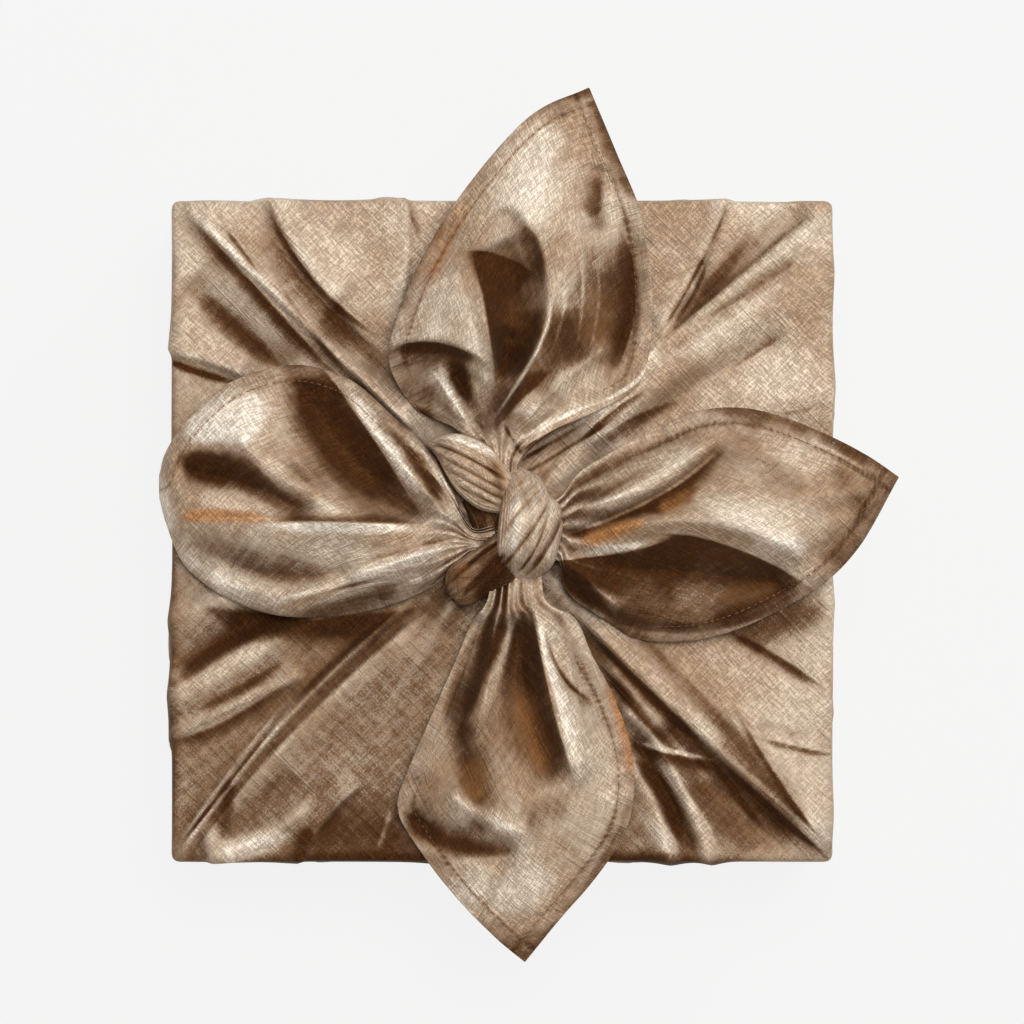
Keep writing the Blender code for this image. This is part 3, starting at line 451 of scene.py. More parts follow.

# Painted shade and painted highlights on the lid
WRAP_SHADES = (
    # upper left quarter
    Shade(-96, 97, -72.6, 71.4, -46, 42, 0.7, 1.1, 0.4, 3.0),
    Shade(-92, 95, -69.6, 71.6, -50, 50, -0.4, -0.5, 2.4, 2.0),
    Shade(-84, 92, -78, 84.4, -72, 76, 0.9, 0.8, 0.5, 1.2),
    Shade(-68, 76, -58.5, 62.6, -44, 44, 0.4, 0.8, 0.5, 1.8),
    Shade(-72, 104, -58, 77, -32, 55, 0.8, 1.3, 0.4, 1.8),
    Shade(-72, 98, -60, 75, -34, 52, 0.4, 0.7, 0.6, 9),
    Shade(-68, 98, -55, 77, -33, 60, -0.15, -0.2, 4, 0.6),
    Shade(-56, 68, -46, 52, -28, 34, 0.4, 0.7, 6, 6),
    Shade(-33, 104, -28, 96, -24, 84, 0.4, 0.5, 1.8, 0.4),
    Shade(-94, 74, -80, 61, -64, 47, 0.6, 1.1, 2.4, 4),
    Shade(-102, 52.4, -91, 47.8, -78, 44.4, 1.5, 1.2, 0.7, 1.0),
    Shade(-100, 55, -90, 50, -80, 47, -0.5, -0.4, 1.4, 0.8),
    Shade(-99, 90, -98, 70, -96, 58, 0.3, 0.3, 2, 4),
    # upper right quarter
    Shade(69, 103, 60, 80.9, 44, 54, 0.9, 1.2, 0.6, 0.7),
    Shade(62, 84, 58, 72, 49, 59, 0.6, 0.8, 0.5, 1.0),
    Shade(76, 92, 66.9, 78.4, 53, 62, 0.3, 0.6, 2.2, 2.4),
    Shade(88, 98, 72, 84, 52, 62, 0.15, 0.4, 2.4, 3.6),
    Shade(97, 99, 69.9, 75.7, 40, 51, 0.3, 1.0, 0.35, 1.2),
    Shade(96, 95, 71.5, 73.5, 42, 50, 0.15, 0.15, 2.0, 1.8),
    Shade(92, 84, 75, 72, 56, 61, 0.3, 0.5, 0.4, 1.8),
    Shade(88, 78, 68, 62, 50, 50, -0.35, -0.4, 5, 2),
    Shade(62, 82, 53, 77, 44, 72, 0.4, 0.4, 0.5, 0.9),
    Shade(92, 76, 62, 52, 34, 30, 0.2, 0.6, 3, 5),
    Shade(86, 60, 76, 53.6, 66, 47, 0.3, 0.3, 0.5, 1.2),
    Shade(3, 19, 20, 30, 44, 42, 1.4, 0.7, 0.5, 0.9),
    Shade(4, 16, 18, 24, 38, 36.5, 1.3, 0.7, 0.5, 0.9),
    Shade(5, 22, 22, 31.4, 42, 41, -0.8, -0.6, 1.2, 1.0),
    Shade(6, 17, 22, 25, 44, 35, -0.6, -0.5, 1.6, 1.6),
    Shade(23, 27, 33.6, 36, 47, 45, 1.1, 0.6, 0.5, 1.8),
    Shade(23, 23, 39.9, 34, 60, 41, 1.0, 0.4, 0.6, 2.4),
    Shade(80, 36, 88, 36, 96, 39, 0.4, 0.5, 0.6, 1.2),
    # lower right quarter
    Shade(22, -25, 43, -48, 64, -67, 0.9, 0.8, 1.4, 1.0),
    Shade(27, -26, 48, -46.6, 67, -64, -0.1, -0.15, 1.4, 1.2),
    Shade(20, -26, 50, -58, 90, -96, 0.2, 0.2, 7, 16),
    Shade(34, -24, 54, -44, 74, -66, 0.5, 0.5, 1.4, 3.6),
    Shade(28, -38, 41, -54.7, 54, -68, 0.8, 0.8, 1.6, 1.0),
    Shade(66, -46, 83, -75.4, 98, -95, 0.5, 1.3, 0.3, 1.2),
    Shade(62, -50, 78, -74, 95, -94, 0.5, 0.8, 5, 6),
    Shade(64, -68, 82, -84, 99, -99, 1.0, 1.3, 0.5, 1.0),
    Shade(66, -66, 84, -82, 98, -96, -0.4, -0.5, 0.9, 0.5),
    Shade(38, -62.4, 52, -66, 66, -69, -0.8, -0.7, 0.5, 0.5),
    Shade(38, -64, 52, -67.6, 67, -71, 0.9, 0.8, 0.4, 3),
    Shade(38, -60, 54.3, -78, 67, -99, -0.4, -0.5, 1.0, 2.2),
    Shade(50, -68, 66, -84, 84, -99, 0.45, 0.7, 5, 6),
    Shade(60, -66, 70, -78, 80, -92, 0.6, 0.6, 0.6, 1.4),
    Shade(38, -68, 47.7, -78, 55, -99, 1.1, 1.0, 2.4, 2.6),
    Shade(38, -80, 46, -89, 53, -98, -0.5, -0.45, 2, 2),
    Shade(66, -29, 82, -37.5, 100, -49.5, 0.8, 0.7, 0.6, 1.8),
    Shade(74, -61, 88.8, -65, 100, -67, 0.5, 0.7, 0.5, 1.2),
    Shade(62, -30, 84, -27, 99, -14, 0.8, 0.7, 7, 6),
    # lower left quarter
    Shade(-99, -99, -80.4, -75, -60, -49, -0.9, -0.9, 0.6, 0.6),
    Shade(-99, -97, -82, -73, -62, -48, -0.5, -0.7, 0.6, 0.5),
    Shade(-97, -95, -82, -76, -62, -51, 1.5, 0.9, 0.8, 0.8),
    Shade(-66, -57, -48, -38, -26, -20, 0.6, 0.8, 1.6, 1.8),
    Shade(-101, -54, -87.6, -42.8, -62, -30, -0.3, -0.4, 3, 3),
    Shade(-100, -62, -83, -56, -62, -42, -0.5, -0.4, 2.6, 0.5),
    Shade(-100, -63.5, -83, -57.6, -64, -45, 0.5, 0.4, 0.5, 3),
    Shade(-100, -48, -84.9, -35.6, -66, -26, 0.6, 1.1, 2.6, 2.6),
    Shade(-94, -54.4, -78.6, -47.3, -64, -38, 0.5, 0.7, 1.4, 1.6),
    Shade(-92, -21, -60.6, -27.5, -20, -22, 1.1, 1.3, 2, 5),
    Shade(-86, -96.5, -76, -94, -60, -90, -1.0, -0.9, 2.6, 3.4),
    Shade(-57, -88, -59, -94, -62, -101, 0.9, 0.9, 1.5, 3),
    Shade(-82, -72, -82, -82, -85, -93, 0.6, 0.5, 1.6, 2.6),
    Shade(-64, -92, -44, -91, -20, -95, 0.5, 0.6, 9, 7),
    Shade(-33, -82, -35, -89, -38, -97, -0.6, -0.5, 0.7, 0.7),
    # rim
    Shade(-99, -99.5, 0, -99.5, 99, -99.5, 1.2, 1.1, 3, 6),
    Shade(-99.5, -99, -99.5, -40, -99.5, 98, 0.7, 0.4, 4, 2),
)

CORNERS = (
    Corner(
        "top_corner", TOP_TAIL, TOP_TAIL_FOLDS, TOP_TAIL_SHADES, TOP_TAIL_SHOT_SHEENS,
        crown=1.3, tone=0.10, pleats=7, seed=3, hem_a=0.42, hem_b=0.42,
    ),
    Corner(
        "left_corner", LEFT_TAIL, LEFT_TAIL_FOLDS, LEFT_TAIL_SHADES, LEFT_TAIL_SHOT_SHEENS,
        crown=0.85, tone=0.05, pleats=7, seed=5, hem_a=0.34, hem_b=2.0,
    ),
    Corner(
        "right_corner", RIGHT_TAIL, RIGHT_TAIL_FOLDS, RIGHT_TAIL_SHADES, RIGHT_TAIL_SHOT_SHEENS,
        crown=1.1, tone=0.12, pleats=7, seed=8, hem_a=0.36, hem_b=0.45,
    ),
    Corner(
        "bottom_corner", BOTTOM_TAIL, BOTTOM_TAIL_FOLDS, BOTTOM_TAIL_SHADES, BOTTOM_TAIL_SHOT_SHEENS,
        crown=1.3, tone=0.25, pleats=6, seed=11, hem_a=0.55, hem_b=0.30,
    ),
)

TURNS = (
    Turn(
        "rear_turn",
        (
            Section(-22.2, 26.3, 12, -21.6, 25, 12, 2),
            Section(-18.6, 28.4, 13, -19.2, 22, 13, 5.5),
            Section(-13.8, 29.3, 14, -16.5, 16.7, 13, 8),
            Section(-8.1, 28, 14, -12.6, 11, 13, 9),
            Section(-2.4, 24.5, 14, -7.2, 6.8, 13, 9),
            Section(1.8, 19, 13, -1.2, 5.3, 13, 8),
            Section(4.8, 14, 12, 3, 5, 12, 5),
        ),
        -0.2,
    ),
    Turn(
        "front_turn",
        (
            Section(1.5, 19, 10, 5.4, 19.4, 10, 3),
            Section(0.3, 15.5, 13, 11.7, 16, 12, 7),
            Section(0, 11.3, 16, 14.1, 11.3, 14, 10.5),
            Section(-0.6, 6.5, 19, 17.4, 7.7, 16, 13),
            Section(-1.2, 1, 20, 18.3, 2.3, 17, 13.5),
            Section(-1.5, -4.4, 19, 17.1, -3.8, 16, 12.5),
            Section(-0.9, -8.6, 16, 15.6, -9.2, 14, 10.5),
            Section(0.9, -12.8, 12, 12.3, -13, 11, 7),
            Section(4.2, -15.2, 9, 7.2, -15.2, 9, 3),
        ),
        -0.25,
    ),
    Turn(
        "low_turn",
        (
            Section(-0.6, 0.5, 13, 5.4, -13, 13, 8),
            Section(-4.2, -2, 13, 2.4, -16, 12, 8),
            Section(-8.4, -5, 12, -1.2, -17.3, 12, 7.5),
            Section(-12.6, -7.7, 11, -5.1, -19.4, 11, 7),
            Section(-15.9, -10.4, 10, -9, -21.8, 10, 6),
            Section(-17.1, -14, 9, -12.9, -21.8, 9, 4.5),
            Section(-16.8, -17, 8, -15.3, -20.3, 8, 2),
        ),
        0.65,
    ),
    Turn(
        "heart",
        (
            Section(-12, 9, 7, -3, 16, 7, 3),
            Section(-9, 1, 7, 8, 10, 7, 7),
            Section(-8, -8, 7, 13, 2, 7, 7),
            Section(-2, -13, 7, 12, -6, 7, 3),
        ),
        1.0,
    ),
)

# Folds on the knot, its painted shade and painted highlights, and its orange warp, painted where
# its sheen shows
KNOT_FOLDS = (
    Fold(-23, 27, -10.2, 22, 2, 14, -0.8, -1.2, 0.6, 0.6),
    Fold(-21, 24, -10.8, 18.4, 1, 11.5, -0.8, -1.2, 0.5, 0.5),
    Fold(-18.6, 20, -9.4, 14.6, 1, 8.6, -0.8, -1.2, 0.6, 0.6),
    Fold(-15, 14.4, -8, 11, 0, 6.6, -0.8, -1.1, 0.5, 0.5),
    Fold(-20, 27.6, -9, 25.6, 1, 18, 0.9, 0.9, 1.4, 1.0),
    Fold(15.5, 12, 8.5, 0, -1.6, -12.6, -1.3, -1.5, 0.5, 0.6),
    Fold(12, 13, 5.4, 6.4, -0.6, -3, -0.8, -1.0, 0.45, 0.6),
    Fold(18, 7, 14.5, -3.6, 5.4, -15, -1.5, -1.6, 0.7, 0.7),
    Fold(13, 16.4, 6, 12.6, 0, 6.6, -0.8, -0.9, 0.9, 0.9),
    Fold(14.4, 10, 10.4, -4, 2.6, -14, -0.9, -1.2, 0.4, 0.5),
    Fold(1, -2, -7.7, -8, -17, -17, -1.4, -1.2, 0.7, 0.7),
    Fold(2, -6, -5.2, -12.4, -13.4, -21, -1.5, -1.3, 0.7, 0.7),
    Fold(3, -10.4, -2.7, -14.8, -8.6, -21, -1.3, -1.3, 0.6, 0.6),
    Fold(-3, -1.4, -13, -6.4, -19, -12, -0.9, -0.9, 0.6, 0.6),
)

KNOT_SHADES = (
    Shade(-23, 27, -10.2, 22, 3, 14, 0.9, 1.4, 0.3, 0.35),
    Shade(-21, 24, -10.8, 18.4, 2, 11.5, 0.7, 1.1, 0.25, 0.3),
    Shade(-18.6, 20, -9.4, 14.6, 2, 8.6, 0.6, 1.1, 0.25, 0.35),
    Shade(-15, 14.4, -8, 11, 1, 6.6, 0.5, 1.0, 0.3, 0.7),
    Shade(-19, 28, -8, 26, 1, 19, -0.8, -0.4, 2, 1.4),
    Shade(-5, 24, -1, 16, 0, 6, 0.5, 1.0, 2, 2.4),
    Shade(15.5, 12, 8.5, 0, -1.6, -12.6, 0.9, 1.2, 0.25, 0.35),
    Shade(12, 13, 5.4, 6.4, -0.6, -3, 0.6, 0.6, 0.25, 0.3),
    Shade(18, 7, 14.5, -3.6, 5.4, -15, 0.9, 1.1, 0.3, 1.6),
    Shade(14.4, 10, 10.4, -4, 2.6, -14, 0.8, 1.2, 0.25, 0.35),
    Shade(5, 15, 4, 0, 0.6, -11, -0.5, -0.3, 3, 3),
    Shade(12, -6, 10, -11, 6, -15, 0.4, 0.5, 2, 3),
    Shade(1, -2, -7.7, -8, -17, -17, 0.9, 0.8, 0.6, 0.6),
    Shade(2, -6, -5.2, -12.4, -13.4, -21, 1.1, 1.0, 0.8, 0.9),
    Shade(3, -10.4, -2.7, -14.8, -8.6, -21, 1.2, 1.0, 1.0, 1.4),
    Shade(-3, -1.4, -13, -6.4, -19, -12, 0.5, 0.5, 0.5, 0.5),
    Shade(-4, -4, -10, -8, -14, -11, -0.2, -0.2, 1.0, 1.0),
    Shade(4, -4, -2, -13, -8, -24, 0.9, 0.5, 4, 4),
)

KNOT_SHOT_SHEENS = (
    Shade(-3, 22, 0, 17, 1, 11, 1.2, 1.2, 1.6, 1.6),
    Shade(13, 12, 12, 9, 9, 5, 1.0, 0.8, 1.0, 1.0),
    Shade(-14, -7, -11, -12, -8, -20, 1.1, 1.1, 2, 3),
)


# Reading the tables


def smoothstep(value):
    """0 at 0 and under, 1 at 1 and over, with a soft step from one to the other."""
    value = np.clip(value, 0, 1)
    return value * value * (3 - 2 * value)


def through_three(start, middle, end, share):
    """Points of the smooth curve through three points, at each share of its way."""
    t = np.asarray(share, float)[:, None]
    start, middle, end = (np.asarray(point, float) for point in (start, middle, end))
    return start * (2 * t - 1) * (t - 1) + middle * 4 * t * (1 - t) + end * t * (2 * t - 1)


def stroke(points, line, power, fade, taper):
    """Strength of one curved stroke at each plan point: a fold, or a patch of painted shade.

    It fades over the fade share of its length at both ends, and narrows there by the taper share.
    """
    path = MM * through_three(line[0:2], line[2:4], line[4:6], np.linspace(0, 1, STROKE_STEPS))
    reach = 4 * MM * max(line.left, line.right, 1)
    near = ((points > path.min(0) - reach) & (points < path.max(0) + reach)).all(1)
    strength = np.zeros(len(points))
    if not near.any():
        return strength
    begin, step = path[:-1], np.diff(path, axis=0)
    away = points[near, None, :] - begin
    along = np.clip((away * step).sum(2) / (step**2).sum(1), 0, 1)
    miss = away - along[..., None] * step
    distance = np.hypot(miss[..., 0], miss[..., 1])
    nearest = distance.argmin(1)
    row = np.arange(len(away))
    miss, distance = miss[row, nearest], distance[row, nearest]
    on_left = step[nearest, 0] * miss[:, 1] - step[nearest, 1] * miss[:, 0] > 0
    share = (nearest + along[row, nearest]) / (STROKE_STEPS - 1)
    value = line.rise + (line.rise_end - line.rise) * share
    ends = smoothstep(share / fade) * smoothstep((1 - share) / fade)
    width = MM * np.where(on_left, line.left, line.right) * (1 - taper * (1 - ends))
    width = np.maximum(width, SHARPEST)
    strength[near] = value * ends * np.exp(-((distance / width) ** power))
    return strength


def relief(points, folds):
    """How far the folds lift the cloth at each plan point."""
    return MM * sum(stroke(points, fold, CREST_POWER, FOLD_FADE, 0) for fold in folds)


def painted(points, shades):
    """The painted shade at each plan point, and below zero the painted highlight."""
    return sum(stroke(points, shade, SHADE_POWER, SHADE_FADE, SHADE_TAPER) for shade in shades)


def ripples(across, along, count, seed, lowest, highest):
    """Uneven waves across the cloth whose crests wander along it, between about -1 and 1.

    They are a sum of count waves, each with lowest to highest crests from side to side.
    """
    dice = np.random.default_rng(seed)
    total = 0
    for _ in range(count):
        waves = dice.uniform(lowest, highest)
        sway = dice.uniform(0.1, 0.5) * np.sin(dice.uniform(2, 6) * along + dice.uniform(0, 6.3))
        total = total + np.cos(2 * math.pi * waves * across + sway + dice.uniform(0, 6.3))
    return total / math.sqrt(count)


def turned(row, quarters):
    """The same fold or shade on another wall, a number of quarter turns round the block."""
    ends = []
    for x, y in (row[0:2], row[2:4], row[4:6]):
        for _ in range(quarters):
            x, y = -y, x
        ends += [x, y]
    return type(row)(*ends, *row[6:])


def on_walls(rows):
    """The rows for one wall, repeated on all four."""
    return tuple(turned(row, quarters) for quarters in range(4) for row in rows)


def smooth_rows(sections, count):
    """The sections' columns, read at evenly spaced places along a smooth curve through them."""
    table = np.array(sections, float)
    table = np.vstack([2 * table[0] - table[1], table, 2 * table[-1] - table[-2]])
    place = np.linspace(0, len(sections) - 1, count)
    first = np.minimum(place.astype(int), len(sections) - 2)
    t = (place - first)[:, None]
    before, a, b, after = (table[first + k] for k in range(4))
    slope_a, slope_b = (b - before) / 2, (after - a) / 2
    return (
        a * (2 * t**3 - 3 * t**2 + 1)
        + slope_a * (t**3 - 2 * t**2 + t)
        + b * (3 * t**2 - 2 * t**3)
        + slope_b * (t**3 - t**2)
    )


def blurred(grid, cells):
    """A grid of numbers, each averaged with its neighbours a few cells round."""
    for axis in (0, 1):
        for _ in range(2):
            padded = np.concatenate(
                [np.repeat(grid.take([0], axis), cells, axis), grid]
                + [np.repeat(grid.take([-1], axis), cells, axis)],
                axis,
            )
            total = np.cumsum(padded, axis)
            size = grid.shape[axis]
            ahead = total.take(range(2 * cells, 2 * cells + size), axis)
            grid = (ahead - total.take(range(0, size), axis)) / (2 * cells)
    return grid


def sunk(height, cells, full):
    """How sunk each place of a height grid is, against the few cells round it.

    It is 1 in a hollow of the full depth or more, and -1 on a crest as high.
    """
    return np.clip((blurred(height, cells) - height).ravel() / full, -1, 1)


# Meshes


def cloth_mesh(name, points, faces, marks, material, inward=0):
    """A smooth closed mesh with its faces outwards, but for its last few, which line its inside.

    marks holds a number or point per vertex.
    """
    mesh = bpy.data.meshes.new(name)
    mesh.from_pydata(points.tolist(), [], faces)
    build = bmesh.new()
    build.from_mesh(mesh)
    build.faces.ensure_lookup_table()
    bmesh.ops.recalc_face_normals(build, faces=build.faces[: len(faces) - inward])
    build.to_mesh(mesh)
    build.free()
    for mark, values in marks.items():
        kind = "FLOAT_VECTOR" if values.ndim == 2 else "FLOAT"
        layer = mesh.attributes.new(mark, kind, "POINT")
        layer.data.foreach_set("vector" if values.ndim == 2 else "value", values.ravel())
    mesh.shade_smooth()
    mesh.materials.append(material)
    made = bpy.data.objects.new(name, mesh)
    bpy.context.collection.objects.link(made)
    return made


def sheet_faces(rows, columns):
    """Faces of a sheet whose upper points come first and whose lower points follow."""
    number = np.arange(rows * columns).reshape(rows, columns)
    a, b = number[:-1, :-1].ravel(), number[:-1, 1:].ravel()
    c, d = number[1:, 1:].ravel(), number[1:, :-1].ravel()
    rim = np.concatenate(
        [number[0], number[1:, -1], number[-1, -2::-1], number[-2:0:-1, 0]]
    )
    ahead = np.roll(rim, -1)
    under = rows * columns
    faces = np.concatenate(
        [
            np.stack([a, b, c, d], 1),
            np.stack([a, d, c, b], 1) + under,
            np.stack([rim, rim + under, ahead + under, ahead], 1),
        ]
    )
    return faces.tolist()


def edge_distance(plan, line):
    """Distance of each plan point from a line of plan points."""
    begin, step = line[:-1], np.diff(line, axis=0)
    nearest = np.full(len(plan), np.inf)
    for start, way in zip(begin, step):
        away = plan - start
        along = np.clip(away @ way / max(way @ way, 1e-12), 0, 1)
        nearest = np.minimum(nearest, np.hypot(*(away - along[:, None] * way).T))
    return nearest


def distance_to_tip(rows, height):
    """How far each row of a corner is from its tip, along the cloth's middle."""
    middle = np.column_stack([0.5 * (rows[:, 0] + rows[:, -1]), height[:, TAIL_COLUMNS // 2]])
    steps = np.linalg.norm(np.diff(middle, axis=0), axis=1)
    return np.concatenate([np.cumsum(steps[::-1])[::-1], [0]])[:, None]


def sewn_edge(distance, along, start, cloth):
    """How far each place is on the hem of one edge, and how far on its line of stitches."""
    shown = smoothstep((along - start) / HEM_START_SHARE)
    hem = 1 - smoothstep((distance - cloth.hem_width + HEM_STEP / 2) / HEM_STEP)
    seam = np.exp(-(((distance - cloth.stitch_inset) / SEAM_WIDTH) ** 2))
    return shown * hem, shown * seam


def thread_places(across, along):
    """Places along both threads of the weave, as a list of points."""
    return np.column_stack([across.ravel(), along.ravel(), np.zeros(across.size)])


def corner_threads(rows, along, across, to_tip):
    """The weave of a corner: its threads run along its edges and meet squarely at its tip."""
    half = 0.5 * np.linalg.norm(rows[:, -1] - rows[:, 0], axis=1)[:, None]
    side = 2 * across - 1
    spread = np.maximum(to_tip - half, 0) * smoothstep((along - 0.3) / 0.4)
    lateral = half * side + spread * (3 * side - side**3) / 2
    return thread_places((to_tip + lateral) / math.sqrt(2), (to_tip - lateral) / math.sqrt(2))


def tail_shape(corner, cloth):
    """The upper face of a loose corner: its sections, folds, pleats and hems."""
    table = smooth_rows(corner.sections, TAIL_ROWS)
    along = np.linspace(0, 1, TAIL_ROWS)[:, None]
    across = np.linspace(0, 1, TAIL_COLUMNS)[None, :]
    crown = (4 * across * (1 - across)) ** corner.crown
    x, y, z = (
        MM * (table[:, k, None] * (1 - across) + table[:, k + 3, None] * across) for k in range(3)
    )
    z = z + MM * table[:, 6, None] * crown
    rows = np.stack([x, y], axis=2)
    plan = rows.reshape(-1, 2)
    to_tip = distance_to_tip(rows, z)
    inner = smoothstep(to_tip / TIP_LENGTH)

    folded = relief(plan, corner.folds).reshape(z.shape) * smoothstep(along / ROOT_SHARE)
    gathers = ripples(across, 7 * along, 4, corner.seed, 0.3 * corner.pleats, 0.9 * corner.pleats)
    soft = ripples(across + 0.25 * along, 7 * along, 4, corner.seed + 1, 1.0, 4.5)
    pleats = 0.7 - 1.6 * np.abs(gathers)
    pleated = 1 - smoothstep(along / PLEATED_SHARE)
    z = z + folded + PLEAT_RISE * pleats * pleated + SOFT_RISE * soft * crown * inner

    edge_a = edge_distance(plan, rows[::2, 0]).reshape(z.shape)
    edge_b = edge_distance(plan, rows[::2, -1]).reshape(z.shape)
    sewn_a = sewn_edge(edge_a, along, corner.hem_a, cloth)
    sewn_b = sewn_edge(edge_b, along, corner.hem_b, cloth)
    hem, seam = np.maximum(sewn_a, sewn_b)
    pucker = 0.6 + 0.5 * ripples(along, across, 3, corner.seed + 2, 44, 80)
    edge_wave = inner * ripples(along, 3 * across, 3, corner.seed + 3, 9, 20)
    near_edge = np.exp(-((np.minimum(edge_a, edge_b) / EDGE_WAVE_REACH) ** 2))
    z = z + cloth.hem_rise * hem - PUCKER_DEPTH * seam * pucker
    z = z + EDGE_WAVE * edge_wave * near_edge

    surface = np.stack([x, y, LID + z], axis=2)
    # Painted shade in the puckered groove of the seams, and on the gathers near the knot painted shade
    # between the pleats and a painted highlight on their crests
    tone = seam * (0.2 + 0.2 * pucker) - 0.7 * pleats * pleated**2
    threads = corner_threads(rows, along, across, to_tip)
    return Tail(surface, edge_a, edge_b, hem, tone, threads)


def sheet_normals(surface):
    """The way up from the cloth at each point of a grid."""
    normal = np.cross(np.gradient(surface, axis=0), np.gradient(surface, axis=1))
    normal /= np.maximum(np.linalg.norm(normal, axis=2), 1e-12)[..., None]
    return normal * np.sign(normal[..., 2:] + 1e-12)


def tail_piece(corner, cloth, material):
    """A loose corner, with its lower face the cloth's thickness under its upper face."""
    tail = tail_shape(corner, cloth)
    drop = cloth.sheet / np.maximum(sheet_normals(tail.surface)[..., 2:], STEEPEST)
    lower = tail.surface - drop * np.array([0, 0, 1])
    points = np.concatenate([tail.surface, lower]).reshape(-1, 3)
    plan = tail.surface[..., :2].reshape(-1, 2)
    # Painted shade, below zero a painted highlight: the corner's tone, its shades and more in its
    # hollows
    dark = corner.tone + tail.tone.ravel() + painted(plan, corner.shades)
    sunken = sunk(tail.surface[..., 2], CORNER_HOLLOW_CELLS, CORNER_HOLLOW)
    dark += CORNER_HOLLOW_PAINTED_SHADE * sunken
    marks = {
        "threads": tail.threads,
        "hem": tail.hem.ravel(),
        "dark": dark,
        # The orange warp, painted where its sheen shows in the folds
        "tint": painted(plan, corner.tints),
    }
    marks = {mark: np.concatenate([values, values]) for mark, values in marks.items()}
    faces = sheet_faces(TAIL_ROWS, TAIL_COLUMNS)
    return cloth_mesh(corner.name, points, faces, marks, material)


def wrap_shape():
    """The cloth over the lid and down the walls to the floor, as a cube from -1 to 1.

    Gives its points, its faces and the numbers of its lowest ring of points.
    """
    step = np.linspace(-1, 1, LID_CELLS + 1)
    grid_x, grid_y = np.meshgrid(step, step, indexing="ij")
    lid = np.stack([grid_x.ravel(), grid_y.ravel(), np.ones(grid_x.size)], 1)
    number = np.arange(grid_x.size).reshape(grid_x.shape)
    rim = np.concatenate([number[:-1, 0], number[-1, :-1], number[:0:-1, -1], number[0, :0:-1]])
    levels = np.linspace(1, -1, WALL_CELLS + 1)[1:]
    walls = [np.column_stack([lid[rim, :2], np.full(len(rim), level)]) for level in levels]
    cube = np.concatenate([lid] + walls)
    faces = np.stack([number[:-1, :-1], number[1:, :-1], number[1:, 1:], number[:-1, 1:]], 2)
    # A square is cut into triangles from its first corner, here the way the folds run.
    falling = step[:-1, None] * step[None, 1:] < 0
    faces[falling] = np.roll(faces[falling], 1, axis=1)
    faces = faces.reshape(-1, 4)
    rings = [rim] + [lid.shape[0] + k * len(rim) + np.arange(len(rim)) for k in range(len(levels))]
    bands = [
        np.stack([one, other, np.roll(other, -1), np.roll(one, -1)], 1)
        for one, other in zip(rings, rings[1:])
    ]
    return cube, np.concatenate([faces] + bands), rings[-1]


def rounded_block(cube, half, radius):
    """The cube's points moved onto a block with rounded edges, and the way out of it at each."""
    spot = cube * half
    core = np.clip(spot, radius - half, half - radius)
    normal = spot - core
    normal /= np.maximum(np.linalg.norm(normal, axis=1), 1e-9)[:, None]
    return core + radius * normal + np.array([0, 0, half[2]]), normal


def opened_out(place):
    """Plan places of the block's points, with its walls laid out flat round the lid.

    Gives also how far each point is below the lid, and how far from its wall's end.
    """
    depth = np.clip(LID - place[:, 2], 0, None)
    opened = place[:, :2].copy()
    row = np.arange(len(place))
    axis = np.abs(opened).argmax(1)
    opened[row, axis] += np.sign(opened[row, axis]) * depth
    to_corner = SIDE / 2 - np.abs(place[row, 1 - axis])
    return opened, depth, to_corner


def panel_painted_shade(points):
    """Painted shade over the lid: palest to the upper right, towards the light, deep by the knot."""
    x, y = points[:, 0] / SIDE, points[:, 1] / SIDE
    lower_left = smoothstep((-x - y + 0.25) / 0.8)
    lower = smoothstep((0.05 - y) / 0.4)
    middle = np.exp(-(((x * x + y * y) / 0.055) ** 1.5))
    return -0.04 + 0.36 * lower_left + 0.16 * lower + 0.35 * middle


def lid_relief(points):
    """Height of the cloth over the lid and walls: its folds, gathers and swells."""
    height = relief(points, WRAP_FOLDS + on_walls(WALL_FOLDS))
    x, y = points.T
    radius = np.hypot(x, y)
    angle = np.arctan2(y, x)
    height += PEAK * np.exp(-((radius / PEAK_RADIUS) ** 2))
    dice = np.random.default_rng(GATHER_SEED)
    for waves in GATHER_WAVES:
        reach = GATHER_REACH * (1 + 17 / waves)
        sway = dice.uniform(0.3, 1.2) * np.sin(radius / PEAK_RADIUS + dice.uniform(0, 6.3))
        crest = np.cos(waves * angle + sway + dice.uniform(0, 6.3))
        height += GATHER_RISE / waves * crest * np.exp(-((radius / reach) ** 2))
    return height + SWELL * np.sin(95 * x + 1) * np.cos(82 * y)


def wrap_marks(opened, lift):
    """The weave of the cloth over the block and its painted shade, at its opened-out places."""
    x, y = opened.T
    turn = math.sqrt(0.5)
    size = LID_CELLS + 1
    on_lid = lift[: size * size].reshape(size, size)
    # Painted shade and highlights of the tables, the painted shade over the lid and more in the lid's
    # hollows
    dark = painted(opened, WRAP_SHADES + on_walls(WALL_SHADES)) + panel_painted_shade(opened)
    dark[: size * size] += LID_HOLLOW_PAINTED_SHADE * sunk(on_lid, LID_HOLLOW_CELLS, LID_HOLLOW)
    return {
        "threads": thread_places(turn * (x + y), turn * (y - x)),
        "hem": 0 * lift,
        "dark": dark,
        "tint": 0 * lift,
    }


